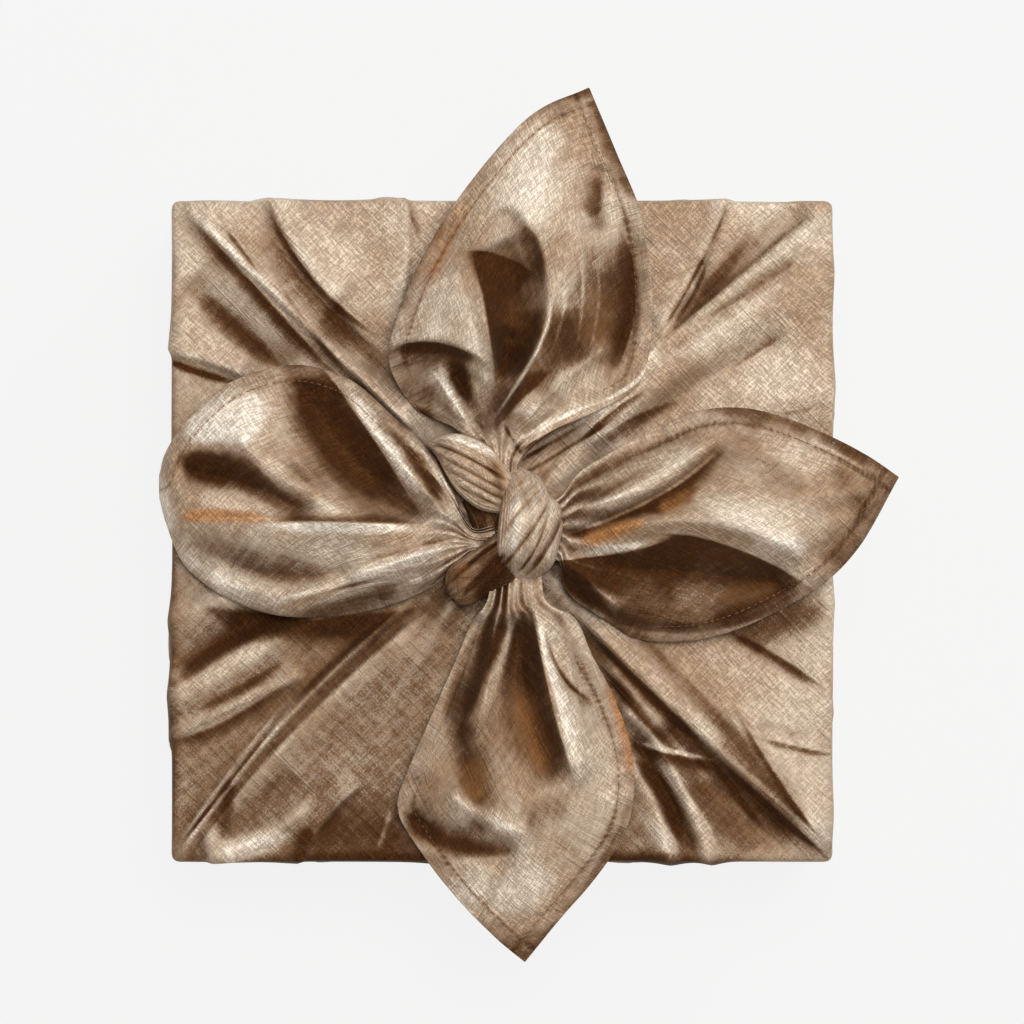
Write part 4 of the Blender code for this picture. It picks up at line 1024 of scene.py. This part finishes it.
def wrap_piece(material):
    """The cloth over the block with its folds, turned in underneath, and the inner face of it."""
    cube, faces, toe_ring = wrap_shape()
    half = np.array([SIDE / 2, SIDE / 2, LID / 2])
    place, normal = rounded_block(cube, half, EDGE_RADIUS)
    opened, depth, to_corner = opened_out(place)
    on_wall = smoothstep(depth / EDGE_RADIUS)
    fade = smoothstep(place[:, 2] / FLOOR_FADE)
    lift = lid_relief(opened) * fade
    lift *= 1 - on_wall * (1 - smoothstep(to_corner / CORNER_FADE))
    push = CLOTH_LIFT * fade[:, None] + lift[:, None] * [WALL_SHARE, WALL_SHARE, 1]
    outer = place + normal * push

    shrink = 1 - TOE / (SIDE / 2)
    toe = outer[toe_ring] * [shrink, shrink, 0]
    toe_number = len(outer) + np.arange(len(toe))
    band = np.stack([toe_ring, toe_number, np.roll(toe_number, -1), np.roll(toe_ring, -1)], 1)
    opened = np.concatenate([opened, opened[toe_ring]])
    lift = np.concatenate([lift, lift[toe_ring]])

    inner, inner_faces = lining(half - LINING_GAP)
    all_faces = faces.tolist() + band.tolist() + [toe_number[::-1].tolist()]
    all_faces += (inner_faces + len(outer) + len(toe)).tolist()
    marks = {
        mark: np.concatenate([values, np.zeros((len(inner),) + values.shape[1:])])
        for mark, values in wrap_marks(opened, lift).items()
    }
    points = np.concatenate([outer, toe, inner])
    return cloth_mesh("wrap", points, all_faces, marks, material, len(inner_faces))


def lining(half):
    """The inner face of the wrap, a plain block inside it, facing inwards."""
    signs = np.array([(x, y, z) for x in (-1, 1) for y in (-1, 1) for z in (-1, 1)])
    inner = signs * half + np.array([0, 0, LID / 2])
    faces = [(0, 2, 3, 1), (4, 5, 7, 6), (0, 1, 5, 4), (2, 6, 7, 3), (0, 4, 6, 2), (1, 3, 7, 5)]
    return inner, np.array(faces)


def turn_threads(table, around):
    """The weave of a turn, slanting across its girth and its length."""
    width = np.linalg.norm(table[:, 3:5] - table[:, 0:2], axis=1)
    girth = MM * math.pi * np.sqrt((width**2 / 4 + table[:, 6] ** 2) / 2)
    middle = MM * (table[:, 0:2] + table[:, 3:5]) / 2
    steps = np.linalg.norm(np.diff(middle, axis=0), axis=1)
    along = np.concatenate([[0], np.cumsum(steps)])[:, None]
    round_it = girth[:, None] * (1 - np.abs(1 - around / math.pi))
    return thread_places(0.8 * round_it + 0.6 * along, 0.8 * along - 0.6 * round_it)


def turn_piece(turn, material):
    """One turn of the knot: a swollen band between its two edges, creased on top."""
    table = smooth_rows(turn.sections, TURN_RINGS)
    around = np.linspace(0, 2 * math.pi, TURN_SIDES, endpoint=False)
    across = ((1 - np.cos(around)) / 2)[:, None]
    lift = np.sign(np.sin(around)) * np.abs(np.sin(around)) ** ROUNDNESS
    points = MM * (table[:, None, 0:3] * (1 - across) + table[:, None, 3:6] * across)
    points[..., 2] += LID + MM * table[:, 6:7] * lift
    plan = points[..., :2].reshape(-1, 2)
    shape = points.shape[:2]

    on_top = smoothstep(2 * lift) * np.ones(shape)
    along = np.linspace(0, 1, TURN_RINGS)[:, None]
    wrinkles = np.abs(ripples(across.T, along, 4, len(turn.sections), 5, 13))
    creases = KNOT_CREASING * relief(plan, KNOT_FOLDS).reshape(shape)
    points[..., 2] += (creases + WRINKLE_RISE * (0.5 - wrinkles)) * on_top
    # Painted shade, below zero a painted highlight: the turn's tone, its shades, more underneath it and
    # in its wrinkles
    dark = turn.tone + painted(plan, KNOT_SHADES).reshape(shape) * on_top + 0.8 * (1 - on_top)
    dark += 0.25 * (wrinkles - 0.4)

    number = np.arange(on_top.size).reshape(shape)
    beside = np.roll(number, -1, 1)
    faces = np.stack([number[:-1], beside[:-1], beside[1:], number[1:]], 2).reshape(-1, 4)
    faces = faces.tolist() + [number[0, ::-1].tolist(), number[-1].tolist()]
    marks = {
        "threads": turn_threads(table, around),
        "hem": np.zeros(dark.size),
        "dark": dark.ravel(),
        # The orange warp, painted where its sheen shows in the folds
        "tint": 0.4 * painted(plan, KNOT_SHOT_SHEENS),
    }
    return cloth_mesh(turn.name, points.reshape(-1, 3), faces, marks, material)


# Materials


def plug(tree, socket, value):
    """Sets a socket's value, or links it where the value is a socket."""
    if isinstance(value, Value):
        value = value.socket
    if isinstance(value, bpy.types.NodeSocket):
        tree.links.new(value, socket)
    else:
        socket.default_value = value


def add_node(tree, kind, settings=None, **inputs):
    """A node of this kind, with its settings and then its sockets' values or links."""
    made = tree.nodes.new(kind)
    for setting, value in (settings or {}).items():
        setattr(made, setting, value)
    for name, value in inputs.items():
        plug(tree, made.inputs[name], value)
    return made


class Value:
    """A shader socket that can be written in sums, with its Math nodes added as it goes."""

    def __init__(self, tree, socket):
        self.tree = tree
        self.socket = socket

    def math(self, operation, *others):
        made = add_node(self.tree, "ShaderNodeMath", {"operation": operation})
        for socket, value in zip(made.inputs, others):
            plug(self.tree, socket, value)
        return Value(self.tree, made.outputs[0])

    def __add__(self, other):
        return self.math("ADD", self, other)

    def __radd__(self, other):
        return self.math("ADD", other, self)

    def __sub__(self, other):
        return self.math("SUBTRACT", self, other)

    def __rsub__(self, other):
        return self.math("SUBTRACT", other, self)

    def __mul__(self, other):
        return self.math("MULTIPLY", self, other)

    def __rmul__(self, other):
        return self.math("MULTIPLY", other, self)

    def at_least(self, other):
        return self.math("MAXIMUM", self, other)

    def between(self, low, high):
        """0 at low and under, 1 at high and over, with a soft step from one to the other."""
        made = add_node(
            self.tree,
            "ShaderNodeMapRange",
            {"interpolation_type": "SMOOTHSTEP"},
            **{"Value": self, "From Min": low, "From Max": high},
        )
        return Value(self.tree, made.outputs[0])


def mixed(tree, factor, one, other, blend="MIX"):
    """Two colours mixed, each a colour or a socket."""
    settings = {"data_type": "RGBA", "blend_type": blend}
    made = add_node(tree, "ShaderNodeMix", settings, Factor=factor, A=one, B=other)
    return made.outputs["Result"]


def read_mark(tree, name):
    """A number that the mesh holds at each point."""
    made = add_node(tree, "ShaderNodeAttribute", {"attribute_name": name})
    return Value(tree, made.outputs["Fac"])


def stretched_noise(tree, threads, across, along, detail, offset):
    """Noise in long streaks that follow the threads. across and along are its waves a metre."""
    scaled = add_node(tree, "ShaderNodeVectorMath", {"operation": "MULTIPLY_ADD"})
    values = (threads, (across, along, 0), (offset, 2.7 * offset, 0))
    for socket, value in zip(scaled.inputs, values):
        plug(tree, socket, value)
    noise = add_node(
        tree,
        "ShaderNodeTexNoise",
        {"noise_dimensions": "2D"},
        Vector=scaled.outputs[0],
        Scale=1.0,
        Detail=detail,
        Roughness=0.6,
    )
    return Value(tree, noise.outputs["Fac"])


def silk_material(name, cloth):
    """Dupioni silk: fine crossed threads, long slubs, pale painted highlights on crests and
    orange-brown painted shade in hollows.
    """
    material = bpy.data.materials.new(name)
    material.use_nodes = True
    tree = material.node_tree
    shader = tree.nodes["Principled BSDF"]
    places = add_node(tree, "ShaderNodeAttribute", {"attribute_name": "threads"})
    threads = places.outputs["Vector"]
    hem = read_mark(tree, "hem")
    # The painted shade that the mesh holds, below zero a painted highlight
    dark = read_mark(tree, "dark")
    tint = read_mark(tree, "tint")

    # Waves a metre across and along the warp, detail, and a place of its own in the noise
    weft = stretched_noise(tree, threads, 1500, 210, 1, 0.0)
    warp = stretched_noise(tree, threads, 240, 1600, 1, 5.0)
    grain = stretched_noise(tree, threads, 1600, 1750, 1, 17.0)
    speckle = stretched_noise(tree, threads, 620, 700, 2, 23.0)
    slub = stretched_noise(tree, threads, 700, 26, 1, 11.0).between(0.62, 0.78)
    short_slub = stretched_noise(tree, threads, 900, 120, 1, 31.0).between(0.66, 0.82)
    cross_slub = stretched_noise(tree, threads, 60, 1000, 1, 47.0).between(0.68, 0.82)
    dark_thread = stretched_noise(tree, threads, 1100, 60, 2, 71.0).between(0.56, 0.80)
    streak = stretched_noise(tree, threads, 480, 95, 3, 83.0)
    cross_streak = stretched_noise(tree, threads, 90, 460, 3, 57.0)
    patch = stretched_noise(tree, threads, 34, 26, 3, 90.0)

    # The painted shade's edges follow the threads, more so where the painted shade is deep
    broken = (patch - 0.5) * 0.5 + (streak - 0.5) * 0.42 + (cross_streak - 0.5) * 0.42
    broken = broken + (grain - 0.5) * 0.65 + (weft - 0.5) * 0.55 + (warp - 0.5) * 0.5
    ragged_shade = dark + broken * (0.28 + dark.between(-0.25, 0.5) * 0.82)
    colour = mixed(tree, patch.between(0.3, 0.7), cloth.colour_low, cloth.colour_high)
    # Painted highlight where the painted shade is below zero, painted shade in the folds and deeper
    # painted shade in the hollows, then the orange warp painted where its sheen shows
    colour = mixed(tree, (0 - ragged_shade).between(0.0, 0.85), colour, cloth.colour_crest)
    colour = mixed(tree, ragged_shade.between(0.05, 0.75) * 0.92, colour, cloth.colour_fold)
    colour = mixed(tree, ragged_shade.between(0.45, 1.25), colour, cloth.colour_hollow)
    colour = mixed(tree, tint.between(0.0, 1.3) * 0.8, colour, cloth.colour_shot)

    # Single threads, a little warmer where they are dark
    shade = -1.23 + weft * 1.50 + warp * 1.40 + grain * 1.20 + speckle * 0.40
    shade = shade.at_least(0.76)
    shade = shade + slub * 0.12 + cross_slub * 0.10 - dark_thread * 0.16 - hem * 0.10
    warm = add_node(
        tree, "ShaderNodeCombineXYZ", None, X=shade * 0.86 + 0.14, Y=shade, Z=shade * 1.08 - 0.08
    )
    colour = mixed(tree, 1.0, colour, warm.outputs[0], "MULTIPLY")
    plug(tree, shader.inputs["Base Color"], colour)

    plug(tree, shader.inputs["Roughness"], 0.50 + weft * 0.12 + grain * 0.10)
    shader.inputs["Metallic"].default_value = 0.20
    shader.inputs["Specular IOR Level"].default_value = 0.12
    shader.inputs["Specular Tint"].default_value = cloth.colour_crest
    shader.inputs["Sheen Weight"].default_value = 0.04
    shader.inputs["Sheen Roughness"].default_value = 0.5
    shader.inputs["Sheen Tint"].default_value = cloth.colour_crest

    height = weft * 0.6 + warp * 0.5 + grain * 1.0 + slub * 0.9 + short_slub * 0.6
    height = height + cross_slub * 0.5
    bump = add_node(tree, "ShaderNodeBump", None, Strength=0.85, Distance=0.0003, Height=height)
    plug(tree, shader.inputs["Normal"], bump.outputs["Normal"])
    return material


def thread_material(cloth):
    """Sewing thread, a darker brown, with a fine twist along it."""
    material = bpy.data.materials.new("sewing_thread")
    material.use_nodes = True
    tree = material.node_tree
    shader = tree.nodes["Principled BSDF"]
    place = add_node(tree, "ShaderNodeTexCoord").outputs["Object"]
    fleck = add_node(tree, "ShaderNodeTexNoise", None, Vector=place, Scale=900.0, Detail=2.0)
    amount = Value(tree, fleck.outputs["Fac"]).between(0.35, 0.65)
    dark = tuple(0.6 * part for part in cloth.colour_thread[:3]) + (1.0,)
    plug(tree, shader.inputs["Base Color"], mixed(tree, amount, dark, cloth.colour_thread))
    shader.inputs["Roughness"].default_value = 0.5
    bump = add_node(
        tree, "ShaderNodeBump", None, Strength=0.4, Distance=0.00008, Height=fleck.outputs["Fac"]
    )
    plug(tree, shader.inputs["Normal"], bump.outputs["Normal"])
    return material


def floor_material(stage):
    """A pale matt floor that is a little bright of itself, so that shadows on it stay soft."""
    material = bpy.data.materials.new("pale_floor")
    material.use_nodes = True
    shader = material.node_tree.nodes["Principled BSDF"]
    shader.inputs["Base Color"].default_value = stage.floor_colour
    shader.inputs["Roughness"].default_value = 0.9
    shader.inputs["Emission Color"].default_value = (1, 1, 1, 1)
    shader.inputs["Emission Strength"].default_value = stage.floor_glow
    return material


# Stitches


def stitch_path(surface, distance, inset, start):
    """Points on the cloth where its distance from an edge is the stitches' inset.

    The row begins at the start share and ends near the tip. The way up is given at each point.
    """
    normals = sheet_normals(surface)
    path, ups = [], []
    for i in range(int(start * len(distance)), len(distance)):
        line = distance[i]
        if np.hypot(*(surface[i, -1] - surface[i, 0])[:2]) < NARROWEST_SEWN * inset:
            break
        crossing = np.nonzero((line[:-1] - inset) * (line[1:] - inset) <= 0)[0]
        if not len(crossing):
            continue
        j = crossing[0] if line[0] < line[-1] else crossing[-1]
        share = (inset - line[j]) / (line[j + 1] - line[j] + 1e-12)
        path.append(surface[i, j] * (1 - share) + surface[i, j + 1] * share)
        ups.append(normals[i, j])
    return np.array(path), np.array(ups)


def stitch_tree(material):
    """Geometry nodes that sew: a running row of stitches along each line of the mesh."""
    tree = bpy.data.node_groups.new("sew_hem", "GeometryNodeTree")
    sockets = tree.interface
    sockets.new_socket("Geometry", in_out="INPUT", socket_type="NodeSocketGeometry")
    for name in ("Stitch length", "Gap", "Thread radius"):
        sockets.new_socket(name, in_out="INPUT", socket_type="NodeSocketFloat")
    sockets.new_socket("Geometry", in_out="OUTPUT", socket_type="NodeSocketGeometry")
    entry = add_node(tree, "NodeGroupInput")
    length = Value(tree, entry.outputs["Stitch length"])
    gap = Value(tree, entry.outputs["Gap"])
    radius = Value(tree, entry.outputs["Thread radius"])

    curve = add_node(tree, "GeometryNodeMeshToCurve", None, Mesh=entry.outputs["Geometry"])
    spaced = add_node(
        tree,
        "GeometryNodeResampleCurve",
        {"mode": "LENGTH"},
        Curve=curve.outputs["Curve"],
        Length=length + gap,
    )
    along = add_node(tree, "GeometryNodeInputTangent")
    up = add_node(tree, "GeometryNodeInputNamedAttribute", {"data_type": "FLOAT_VECTOR"}, Name="up")
    facing = add_node(
        tree, "FunctionNodeAlignRotationToVector", {"axis": "X"}, Vector=along.outputs["Tangent"]
    )
    facing = add_node(
        tree,
        "FunctionNodeAlignRotationToVector",
        {"axis": "Z", "pivot_axis": "X"},
        Rotation=facing.outputs["Rotation"],
        Vector=up.outputs["Attribute"],
    )
    bead = add_node(tree, "GeometryNodeMeshUVSphere", None, Segments=6, Rings=4, Radius=1.0)
    size = add_node(tree, "ShaderNodeCombineXYZ", None, X=length * 0.5, Y=radius, Z=radius)
    sewn = add_node(
        tree,
        "GeometryNodeInstanceOnPoints",
        None,
        Points=spaced.outputs["Curve"],
        Instance=bead.outputs["Mesh"],
        Rotation=facing.outputs["Rotation"],
        Scale=size.outputs["Vector"],
    )
    real = add_node(tree, "GeometryNodeRealizeInstances", None, Geometry=sewn.outputs["Instances"])
    dyed = add_node(
        tree, "GeometryNodeSetMaterial", None, Geometry=real.outputs["Geometry"], Material=material
    )
    add_node(tree, "NodeGroupOutput", None, Geometry=dyed.outputs["Geometry"])
    return tree


def sew(lines, ups, cloth, material):
    """The stitches along lines of points, baked to a plain mesh."""
    guide = bpy.data.meshes.new("stitch_lines")
    vertices, edges = [], []
    for line in lines:
        first = len(vertices)
        vertices += line.tolist()
        edges += [(first + k, first + k + 1) for k in range(len(line) - 1)]
    guide.from_pydata(vertices, edges, [])
    layer = guide.attributes.new("up", "FLOAT_VECTOR", "POINT")
    layer.data.foreach_set("vector", np.concatenate(ups).ravel())
    holder = bpy.data.objects.new("stitch_lines", guide)
    bpy.context.collection.objects.link(holder)
    tree = stitch_tree(material)
    modifier = holder.modifiers.new("sew", "NODES")
    modifier.node_group = tree
    values = {
        "Stitch length": cloth.stitch_length,
        "Gap": cloth.stitch_gap,
        "Thread radius": cloth.thread_radius,
    }
    for item in tree.interface.items_tree:
        if item.name in values:
            modifier[item.identifier] = values[item.name]
    depsgraph = bpy.context.evaluated_depsgraph_get()
    mesh = bpy.data.meshes.new_from_object(holder.evaluated_get(depsgraph))
    bpy.data.objects.remove(holder)
    stitches = bpy.data.objects.new("stitches", mesh)
    bpy.context.collection.objects.link(stitches)
    return stitches


# The add-on


def length_setting(name, description, default):
    """A setting that is a length, in metres."""
    return bpy.props.FloatProperty(
        name=name, description=description, default=default, unit="LENGTH"
    )


def amount_setting(name, description, default):
    """A setting that is a plain number."""
    return bpy.props.FloatProperty(name=name, description=description, default=default)


def colour_setting(name, description, *parts):
    """A setting that is an opaque colour, from its red, green and blue parts."""
    return bpy.props.FloatVectorProperty(
        name=name, description=description, default=(*parts, 1.0), size=4, subtype="COLOR"
    )


class ClothSettings(bpy.types.PropertyGroup):
    """Sizes and colours of the silk cloth and its sewing."""

    sheet: length_setting("Cloth thickness", "Thickness of the silk", 0.0008)
    hem_width: length_setting("Hem width", "Width of the turned edge", 0.0056)
    hem_rise: length_setting("Hem rise", "How much thicker the hem is", 0.0005)
    stitch_inset: length_setting("Stitch inset", "From the edge to the stitches", 0.0048)
    stitch_length: length_setting("Stitch length", "Length of one stitch", 0.0017)
    stitch_gap: length_setting("Stitch gap", "Gap between two stitches", 0.0004)
    thread_radius: length_setting("Thread radius", "Half the thread's width", 0.00016)
    colour_low: colour_setting("Shaded silk", "The cloth's darker patches", 0.405, 0.272, 0.174)
    colour_high: colour_setting("Silk", "The cloth's paler patches", 0.64, 0.52, 0.405)
    # Painted highlight on the crests, also the tint of the real gloss; painted shade in the folds and
    # deeper painted shade in the hollows; the orange warp, painted where its sheen shows
    colour_crest: colour_setting("Crests", "The cloth on top of its folds", 0.88, 0.775, 0.65)
    colour_fold: colour_setting("Folds", "The cloth on the far side of its folds", 0.172, 0.086, 0.038)
    colour_hollow: colour_setting("Hollows", "The cloth deep in its folds", 0.058, 0.020, 0.005)
    colour_shot: colour_setting("Shot thread", "The orange warp that shows in folds", 0.46, 0.20, 0.065)
    colour_thread: colour_setting("Sewing thread", "The thread of the hem", 0.21, 0.11, 0.055)


class StageSettings(bpy.types.PropertyGroup):
    """The floor, the light and the camera's place."""

    camera_height: length_setting("Camera height", "Camera above the lid", 2.0)
    view_width: length_setting("View width", "Width of the view at the lid", 0.3072)
    view_x: length_setting("View right", "Middle of the view, to the right", 0.0030)
    view_y: length_setting("View up", "Middle of the view, away", 0.00585)
    key_power: amount_setting("Key light", "Power of the large soft light in watts", 36.0)
    side_power: amount_setting("Side light", "Power of the light from the upper right in watts", 12.0)
    sky: amount_setting("Room light", "Brightness of the room", 0.32)
    floor_colour: colour_setting("Floor", "Colour of the floor", 0.04, 0.04, 0.04)
    floor_glow: amount_setting("Floor glow", "Light that the floor gives itself", 0.86)


class FUROSHIKI_OT_wrap(bpy.types.Operator):
    """Lays the silk over the lid and down the walls, with its folds"""

    bl_idname = "furoshiki.wrap"
    bl_label = "Wrap the box"

    def execute(self, context):
        cloth = context.scene.furoshiki_cloth
        wrap = wrap_piece(silk_material("silk_wrap", cloth))
        finish_piece(wrap)
        return {"FINISHED"}


class FUROSHIKI_OT_corners(bpy.types.Operator):
    """Folds the four loose corners of the cloth that stand out of the knot"""

    bl_idname = "furoshiki.corners"
    bl_label = "Fold the loose corners"

    def execute(self, context):
        cloth = context.scene.furoshiki_cloth
        material = silk_material("silk_corners", cloth)
        for corner in CORNERS:
            piece = tail_piece(corner, cloth, material)
            finish_piece(piece)
        return {"FINISHED"}


class FUROSHIKI_OT_knot(bpy.types.Operator):
    """Ties the knot out of its turns of gathered silk"""

    bl_idname = "furoshiki.knot"
    bl_label = "Tie the knot"

    def execute(self, context):
        cloth = context.scene.furoshiki_cloth
        material = silk_material("silk_knot", cloth)
        for turn in TURNS:
            finish_piece(turn_piece(turn, material))
        return {"FINISHED"}


class FUROSHIKI_OT_stitches(bpy.types.Operator):
    """Sews the hems with a running row of stitches"""

    bl_idname = "furoshiki.stitches"
    bl_label = "Sew the hems"

    def execute(self, context):
        cloth = context.scene.furoshiki_cloth
        lines, ups = [], []
        for corner in CORNERS:
            tail = tail_shape(corner, cloth)
            for distance, start in ((tail.edge_a, corner.hem_a), (tail.edge_b, corner.hem_b)):
                if start < 1:
                    line, up = stitch_path(tail.surface, distance, cloth.stitch_inset, start)
                    lines.append(line)
                    ups.append(up)
        finish_piece(sew(lines, ups, cloth, thread_material(cloth)))
        return {"FINISHED"}


class FUROSHIKI_OT_stage(bpy.types.Operator):
    """Sets the pale floor, the soft lights and the camera straight above"""

    bl_idname = "furoshiki.stage"
    bl_label = "Set the stage"

    def execute(self, context):
        stage = context.scene.furoshiki_stage
        set_floor(stage)
        set_lights(context, stage)
        set_camera(context, stage)
        return {"FINISHED"}


def finish_piece(piece):
    """What every piece of the cloth shares: its body, and the cloth's part from model.glb hidden."""
    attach(piece, "root")
    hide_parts(CLOTH_NODE)


def set_floor(stage):
    """A wide flat floor under the box."""
    bpy.ops.mesh.primitive_plane_add(size=6)
    floor = bpy.context.object
    floor.name = "floor"
    floor.data.materials.append(floor_material(stage))


def area_light(context, name, place, size, power, tint):
    """A round soft light that looks at the middle of the lid."""
    light = bpy.data.lights.new(name, "AREA")
    light.shape = "DISK"
    light.size = size
    light.energy = power
    light.color = tint
    holder = bpy.data.objects.new(name, light)
    context.collection.objects.link(holder)
    holder.location = place
    away = holder.location.copy()
    away.z -= LID
    holder.rotation_euler = away.to_track_quat("Z", "Y").to_euler()


def set_lights(context, stage):
    """The large soft light over the far side, the smaller one to the right, and the room."""
    area_light(context, "key_light", (0.25, 0.45, 2.4), 1.1, stage.key_power, (1.0, 0.985, 0.96))
    area_light(context, "side_light", (1.1, 1.2, 1.5), 0.5, stage.side_power, (1.0, 0.98, 0.95))
    world = bpy.data.worlds.new("room")
    context.scene.world = world
    world.use_nodes = True
    sky = world.node_tree.nodes["Background"]
    sky.inputs["Color"].default_value = (1.0, 0.98, 0.95, 1.0)
    sky.inputs["Strength"].default_value = stage.sky


def set_camera(context, stage):
    """A camera that looks straight down, as wide as the view at the lid's height."""
    camera = bpy.data.cameras.new("camera")
    camera.lens = camera.sensor_width * stage.camera_height / stage.view_width
    camera.clip_end = 20
    holder = bpy.data.objects.new("camera", camera)
    context.collection.objects.link(holder)
    holder.location = (stage.view_x, stage.view_y, LID + stage.camera_height)
    context.scene.camera = holder
    context.scene.view_settings.view_transform = "Standard"


class FUROSHIKI_PT_panel(bpy.types.Panel):
    """Lists the settings and the steps that build the gift"""

    bl_idname = "FUROSHIKI_PT_panel"
    bl_label = "Furoshiki gift"
    bl_space_type = "VIEW_3D"
    bl_region_type = "UI"
    bl_category = "Furoshiki"

    def draw(self, context):
        for step in STEPS:
            self.layout.operator(step.bl_idname)
        for settings in (context.scene.furoshiki_cloth, context.scene.furoshiki_stage):
            for name in settings.bl_rna.properties.keys():
                if name not in ("name", "rna_type"):
                    self.layout.prop(settings, name)


STEPS = (
    FUROSHIKI_OT_wrap,
    FUROSHIKI_OT_corners,
    FUROSHIKI_OT_knot,
    FUROSHIKI_OT_stitches,
    FUROSHIKI_OT_stage,
)
CLASSES = (ClothSettings, StageSettings) + STEPS + (FUROSHIKI_PT_panel,)


def register():
    for one in CLASSES:
        bpy.utils.register_class(one)
    bpy.types.Scene.furoshiki_cloth = bpy.props.PointerProperty(type=ClothSettings)
    bpy.types.Scene.furoshiki_stage = bpy.props.PointerProperty(type=StageSettings)


def unregister():
    del bpy.types.Scene.furoshiki_stage
    del bpy.types.Scene.furoshiki_cloth
    for one in reversed(CLASSES):
        bpy.utils.unregister_class(one)


def main():
    register()
    bpy.ops.furoshiki.wrap()
    bpy.ops.furoshiki.corners()
    bpy.ops.furoshiki.knot()
    bpy.ops.furoshiki.stitches()
    bpy.ops.furoshiki.stage()


if __name__ == "__main__":
    main()
